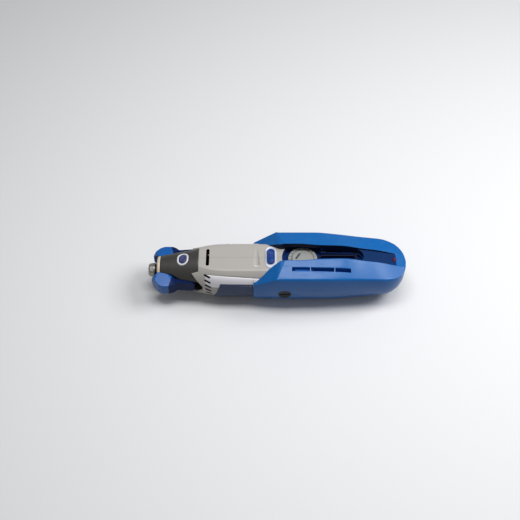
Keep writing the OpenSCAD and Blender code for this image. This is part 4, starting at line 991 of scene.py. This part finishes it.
rearShell = {
    "width": [(94.3, 24.9), (114.8, 27.95), (153.5, 27.95), (170.5, 26.85), (188.5, 25.35), (205, 24.35)],
    "crest": [(94.3, 9.6), (117.7, 25.5), (122.2, 26.5), (173.5, 26.3), (183.5, 24.5), (191.7, 22.5),
              (205, 20.2), (214, 17.4), (222, 14.8), (230, 12.4)],
    "corner": [(94.3, 9.2), (114.8, 21), (153.5, 21), (191.7, 17.8), (205, 16.7), (214, 15.4), (222, 13.4),
               (230, 12)],
    "belly": [(172, -23.4), (188.5, -21.8), (205, -19.5)],
    "crestWidth": [(94.3, 22.3), (105, 16.6), (108, 14), (117.7, 9.8), (138, 9.8), (151.5, 8.3), (191.7, 7.3),
                   (230, 6.8)],
    "channelFront": [(94.3, 22.0), (105, 16.3), (108, 13.7), (117.7, 9.3), (138, 9.3)],
    "channelMiddle": [(138, 9.3), (151.5, 7.8), (184.9, 6.8)],
    # reach of the easing of each table, and the station from which it holds
    "ease": {"width": (5, 118), "crest": (4, 126), "corner": (4, 118), "belly": (5, 150),
             "crestWidth": (2, 124), "channelMiddle": (2, 120)},
    # shares of the half width, and of the drop from the corner to the belly
    "flank": [(0.40, 1), (0.68, 0.89), (0.885, 0.68), (0.98, 0.46), (1, 0.19), (0.967, 0)],
    "tailBelly": 2.0, "bevelStart": 114.8, "bevelEnd": 122.2, "bevelTop": 26.5, "topShare": 0.967,
    "grooveAt": 183.6, "groove": [(183.6, 0), (183.7, 2.2), (205, 2.2), (214, 1.8), (222, 0)],
    "bridgeAt": 191.7, "channelRear": 6.8, "wall": 2.6, "innerRound": 23.0,
    "armFloor": 18.2, "wellFloor": 21.25, "tailFloor": 12.0,
    "roundEnd": 108, "channelJoin": 118, "wellStart": 119,    # stations at which the inner edge changes
    "cornerReach": 1.6, "crestReach": 1.1, "edgeReach": 0.55,
    "slotEdges": (15.55, 18.85), "slotDepth": 6.0,
    "slotRuns": ((128.0, 143.5), (144.5, 164.7), (165.7, 179.4)),
}


def tailShare(s, power):
    # 1 up to the tail, then a superellipse that falls to 0 at the end
    u = np.clip((s - tool["tailAt"]) / (tool["length"] - tool["tailAt"]), 0, 1)
    return np.maximum(0.0001, 1 - u ** power) ** (1 / power)


def eased(key, s):
    # a table of the rear shell with its own easing
    return softTable(rearShell[key], s, *rearShell["ease"][key])


def shellSizes(s):
    # half width, heights of the crest, of the corner below it and of the belly, half width of the crest, and
    # how far the sloping face runs from the corner to the crest, and the height that it climbs to
    v = rearShell
    w, crest, corner = eased("width", s) * tailShare(s, 2.2), eased("crest", s), eased("corner", s)
    belly = v["tailBelly"] + (eased("belly", s) - v["tailBelly"]) * tailShare(s, 2)
    crestW = np.minimum(w * 0.6, eased("crestWidth", s))
    run = np.clip((s - v["bevelStart"]) / (v["bevelEnd"] - v["bevelStart"]), 0.04, 0.96)
    bevel = np.where((s > v["bevelStart"]) & (s < v["bevelEnd"]), v["bevelTop"], crest)
    return w, crest, corner, belly, crestW, run, bevel


def channelHalf(s):
    # half the width between the arms, with a round end
    v = rearShell
    r, start = v["channelRear"], v["bridgeAt"] - v["channelRear"]
    y = np.where(s < v["channelJoin"], table(v["channelFront"], s), eased("channelMiddle", s))
    return np.where(s > start, np.sqrt(np.maximum(0, r * r - (s - start) ** 2)), y)


def armFace(s, depth):
    # from the belly up the flank, then over the arm's sloping face, where the slots lie between four points,
    # to the crest
    v = rearShell
    w, crest, corner, belly, crestW, run, bevel = shellSizes(s)
    flank = [(share * w, corner + (belly - corner) * drop) for share, drop in v["flank"]]
    y0, z0 = flank[-1]
    y1, z1 = v["topShare"] * w + (crestW - v["topShare"] * w) * run, corner + (bevel - corner) * run
    low, high = v["slotEdges"]
    face = []
    for at, sunk in ((high + 0.02, 0), (high, 1), (low, 1), (low - 0.02, 0)):
        y = np.clip(at, np.minimum(y1, y0) + 0.01, y0 - 0.01)
        share = (y - y0) / np.where(np.abs(y1 - y0) < 1e-6, 1e-6, y1 - y0)
        face.append((y, z0 + (z1 - z0) * share - sunk * depth))
    return [(0 * s, belly)] + flank + face + [(y1, z1), (crestW, crest)]


def channelWall(s):
    # from the crest down into the groove over the bridge, then down the channel's wall and the dial's well
    v = rearShell
    _, crest, _, _, crestW, _, _ = shellSizes(s)
    half = channelHalf(s)
    edge = np.where(s > v["grooveAt"] + 0.05, np.minimum(v["channelRear"], crestW - 0.05), half)
    edge = np.minimum(edge, crestW - 0.05)
    half = np.minimum(half, edge)
    fromDial = np.abs(s - tool["dialAt"])
    inWell = (fromDial < tool["wellRadius"]) & (s > v["wellStart"])
    well = np.sqrt(np.maximum(0, tool["wellRadius"] ** 2 - fromDial ** 2))
    past, bridge = s > tool["housingEnd"], s >= v["bridgeAt"]
    floor = crest - table(v["groove"], s)
    ledge = np.where(past, v["tailFloor"], np.where(inWell, v["wellFloor"], v["armFloor"]))
    wall = np.minimum(np.where(bridge, floor, ledge), floor)
    side = np.where(bridge | past, 0.0, np.maximum(half, np.where(inWell, well, 0)))
    # in front, where the crest lies below the housing's flat top, the path ends on the round of the housing
    low = np.minimum(np.where(bridge, floor, np.where(past, v["tailFloor"], v["armFloor"])), wall)
    onRound = np.minimum(low, np.sqrt(np.maximum(0, v["innerRound"] ** 2 - side ** 2)))
    low = np.where(s < v["roundEnd"], onRound, low)
    return [(edge, crest), (edge, floor), (half, floor), (half, wall), (side, wall), (side, low)]


def shellInside(s, count=26):
    # the hidden side: round the motor housing, then a wall's thickness inside the tail
    v = rearShell
    w, _, corner, belly, _, _, _ = shellSizes(s)
    a = np.linspace(math.radians(52.3), -math.pi / 2, count)
    ring = v["innerRound"] * np.stack([np.cos(a), np.sin(a)], -1)
    flank = v["flank"][-2::-1]
    ys = [np.maximum(share * w - v["wall"], 0.1) for share, drop in flank]
    top = np.minimum(9.8, corner - v["wall"])
    zs = [corner + (belly - corner) * drop + v["wall"] * (2 * drop - 1) for share, drop in flank]
    y = np.stack([0 * s, ys[0]] + ys + [0 * s], 1)
    z = np.stack([top, top] + [np.minimum(top - 0.1, z) for z in zs] + [belly + v["wall"]], 1)
    z = np.maximum(z, belly[:, None] + 0.2)
    place = np.linspace(0, 1, count) * (y.shape[1] - 1)
    j = np.minimum(place.astype(int), y.shape[1] - 2)
    f = place - j
    hollow = np.stack([c[:, j] * (1 - f) + c[:, j + 1] * f for c in (y, z)], -1)
    past = (s > tool["housingEnd"])[:, None, None]
    return np.where(past, hollow, np.broadcast_to(ring, hollow.shape))


def shellStations(v):
    # even runs, closer together over the bevel, the round ends of the channel and the tail, and a pair of
    # stations at each break
    runs = [(tool["armsStart"], 114, 1.2), (114, 124, 0.45), (124.5, 184, 1.0), (192.5, tool["tailAt"], 1.2)]
    steps = [np.arange(*run) for run in runs]
    r, tail = v["channelRear"], tool["length"] - tool["tailAt"]
    steps.append(v["bridgeAt"] - r + r * np.sin(np.linspace(0.05, 0.5, 14) * math.pi) - 0.001)
    steps.append(tool["tailAt"] + tail * np.sin(np.linspace(0, 0.5, 26) * math.pi))
    breaks = [(v["bevelStart"], 0.01), (v["bevelEnd"], 0.01), (tool["housingEnd"], 0.02),
              (v["grooveAt"] + 0.025, 0.075)]
    steps += [at + np.array([-gap, gap]) for at, gap in breaks]
    wellEdge = tool["wellRadius"] - 0.02
    steps.append(np.array([v["bridgeAt"] + 0.001, tool["dialAt"] - wellEdge, tool["dialAt"] + wellEdge]))
    slotSteps = np.array([-0.25, -0.02, 0, 0.25])
    for start, end in v["slotRuns"]:
        steps += [start + slotSteps, end - slotSteps]
    return np.unique(np.round(np.concatenate(steps), 3))


def rearShellShape(side, slots):
    # half a section at each station, from the belly round the flank, over the crest and down the channel's
    # wall, and back along the hidden side
    v = rearShell
    s = shellStations(v)
    depth = 0 * s
    for start, end in v["slotRuns"] if slots else ():
        depth = np.where((s >= start) & (s <= end), v["slotDepth"], depth)
    points = armFace(s, depth) + channelWall(s)
    corners = np.stack([np.stack(np.broadcast_arrays(*p), -1) for p in points], 1)
    corner, crest, edge = v["cornerReach"], v["crestReach"], v["edgeReach"]
    reach = [0] + [9] * 5 + [corner] + [0.3] * 4 + [corner, crest, edge, 0.4, edge, 0.3, 0.2, 0]
    loop = np.concatenate([roundedPath(corners, reach, 5, 2), shellInside(s)], 1)
    points = np.concatenate([np.repeat(s[:, None, None], loop.shape[1], 1), loop], 2)
    points[:, :, 1] = side * np.maximum(points[:, :, 1], 0.03)
    return closedLoft(points)


def shellPaint(s, y, z, n):
    # 0 skin, 1 groove over the bridge painted darker as painted shade, 2 walls of the channel and the inside
    # painted dark as painted shade, 3 slots painted to the tone of their shade
    v = rearShell
    w, crest, corner, _, crestW, _, _ = shellSizes(s)
    across = np.abs(y)
    edge = np.where(s > v["grooveAt"] + 0.05, v["channelRear"], channelHalf(s))
    # the walls of the channel and of the well are painted dark, as painted shade
    channel = (across < np.minimum(edge, crestW) + 0.03) & (z < crest - 0.35) & (z > v["tailFloor"] + 0.5)
    inWell = np.hypot(s - tool["dialAt"], y) < tool["wellRadius"] + 0.03
    channel = (channel & (s > 96)) | (inWell & (z < v["wellFloor"] + 0.05) & (z > v["tailFloor"]))
    # the groove's floor over the bridge is painted darker, as painted shade
    onGroove = (s > v["grooveAt"]) & (z > crest - 2.25) & (n[:, 2] > 0.5)
    groove = channel & ((s > v["bridgeAt"] - 0.2) | onGroove)
    share = (v["topShare"] * w - across) / (v["topShare"] * w - crestW)
    # the slots' walls are painted to the tone of their shade
    low, high = v["slotEdges"]
    inSlot = (across > low - 0.05) & (across < high + 0.05)
    inSlot &= (z > 10) & (z < corner + (crest - corner) * share - 0.22)
    inSlot &= (s > v["slotRuns"][0][0] - 1) & (s < v["slotRuns"][-1][1] + 1.1)
    inside = (np.hypot(y, z) < tool["bodyRadius"]) & (z < 15) & (s < tool["housingEnd"] + 0.1)
    return np.where(groove, 1, np.where(inSlot, 3, np.where(channel | inside, 2, 0)))


a = fullTurn(64)
glandRing = [gland["hole"] * np.cos(a), gland["hole"] * np.sin(a) + gland["height"]]
glandHole = closedLoft(np.stack([np.stack([np.full(64, end)] + glandRing, -1) for end in (206.0, 240.0)]))
for side, name in ((-1, "left"), (1, "right")):
    cutters = [crossBar(cap["at"], 0, side * 15, side * 40, cap["radius"] + 0.2, 0.01, 64), glandHole]
    if side > 0:
        cutters += [screwBore(*screw) for screw in screws["middle"] + screws["tail"]]
    cut = cutAway("rearShell." + name, rearShellShape(side, side < 0), cutters)
    made = piece("rearShell." + name, cut, "shell_blue shell_groove shell_inside slot_navy", "housing",
                 "rear_shell_" + name)
    paint(made, shellPaint)
print("rear shells made")

# Ground, light and camera

ground = {"half": 3, "below": 0.0002, "rough": 0.7,
          "shadeTone": (0.4, 0.4, 0.41, 1), "seenTone": (0.74, 0.74, 0.75, 1)}


def makeGround():
    # a pale square just under the tool. It is paler where the camera, a mirror or glass sees it.
    half = ground["half"]
    mesh = bpy.data.meshes.new("ground")
    corners = [(-half, -half, 0), (half, -half, 0), (half, half, 0), (-half, half, 0)]
    mesh.from_pydata(corners, [], [(0, 1, 2, 3)])
    obj = newObject("ground", mesh)
    obj.location.z = -ground["below"]
    m = bpy.data.materials.new("paleGround")
    m.use_nodes = True
    t = m.node_tree
    rays = t.nodes.new("ShaderNodeLightPath").outputs
    seen = mathNode(t, "MAXIMUM", rays["Is Camera Ray"], rays["Is Glossy Ray"])
    seen = mathNode(t, "MAXIMUM", seen, rays["Is Transmission Ray"])
    shader = t.nodes["Principled BSDF"].inputs
    t.links.new(mixNode(t, ground["shadeTone"], ground["seenTone"], seen), shader["Base Color"])
    shader["Roughness"].default_value = ground["rough"]
    mesh.materials.append(m)


# place, width, length and power
lamps = {
    "overhead": ((0.0, 0.0, 0.85), 0.5, 0.24, 3.7),
    "right": ((0.62, 0.1, 0.72), 0.45, 0.45, 5.8),
}
worldTone, worldStrength = (0.87, 0.9, 0.94, 1), 0.27
view = {"elevation": 52.5, "distance": 0.789, "lens": 60.5, "left": 0.0149, "up": 0.0089}

makeGround()
for name, (place, wide, long, power) in lamps.items():
    data = bpy.data.lights.new(name, "AREA")
    data.shape, data.size, data.size_y, data.energy = "RECTANGLE", wide, long, power
    obj = newObject(name, data)
    obj.location = place
    obj.rotation_euler = (Vector((0, 0, 0.02)) - Vector(place)).to_track_quat("-Z", "Y").to_euler()
world = bpy.data.worlds.new("studio")
bpy.context.scene.world = world
world.use_nodes = True
world.node_tree.nodes["Background"].inputs["Color"].default_value = worldTone
world.node_tree.nodes["Background"].inputs["Strength"].default_value = worldStrength

# the camera looks down at the elevation on a point that lies a little left of the tool's middle
e = math.radians(view["elevation"])
camera = newObject("camera", bpy.data.cameras.new("camera"))
camera.data.lens, camera.data.sensor_width = view["lens"], 36.0
axisMiddle = Vector((-view["left"], 0, tool["axisHeight"] * millimetre))
target = axisMiddle + Vector((0, math.sin(e), math.cos(e))) * view["up"]
camera.location = target + Vector((0, -math.cos(e), math.sin(e))) * view["distance"]
camera.rotation_euler = (math.pi / 2 - e, 0, 0)
camera.data.clip_start, camera.data.clip_end = 0.05, 20
bpy.context.scene.camera = camera
bpy.context.scene.view_settings.view_transform = "Standard"
print("light and camera set")
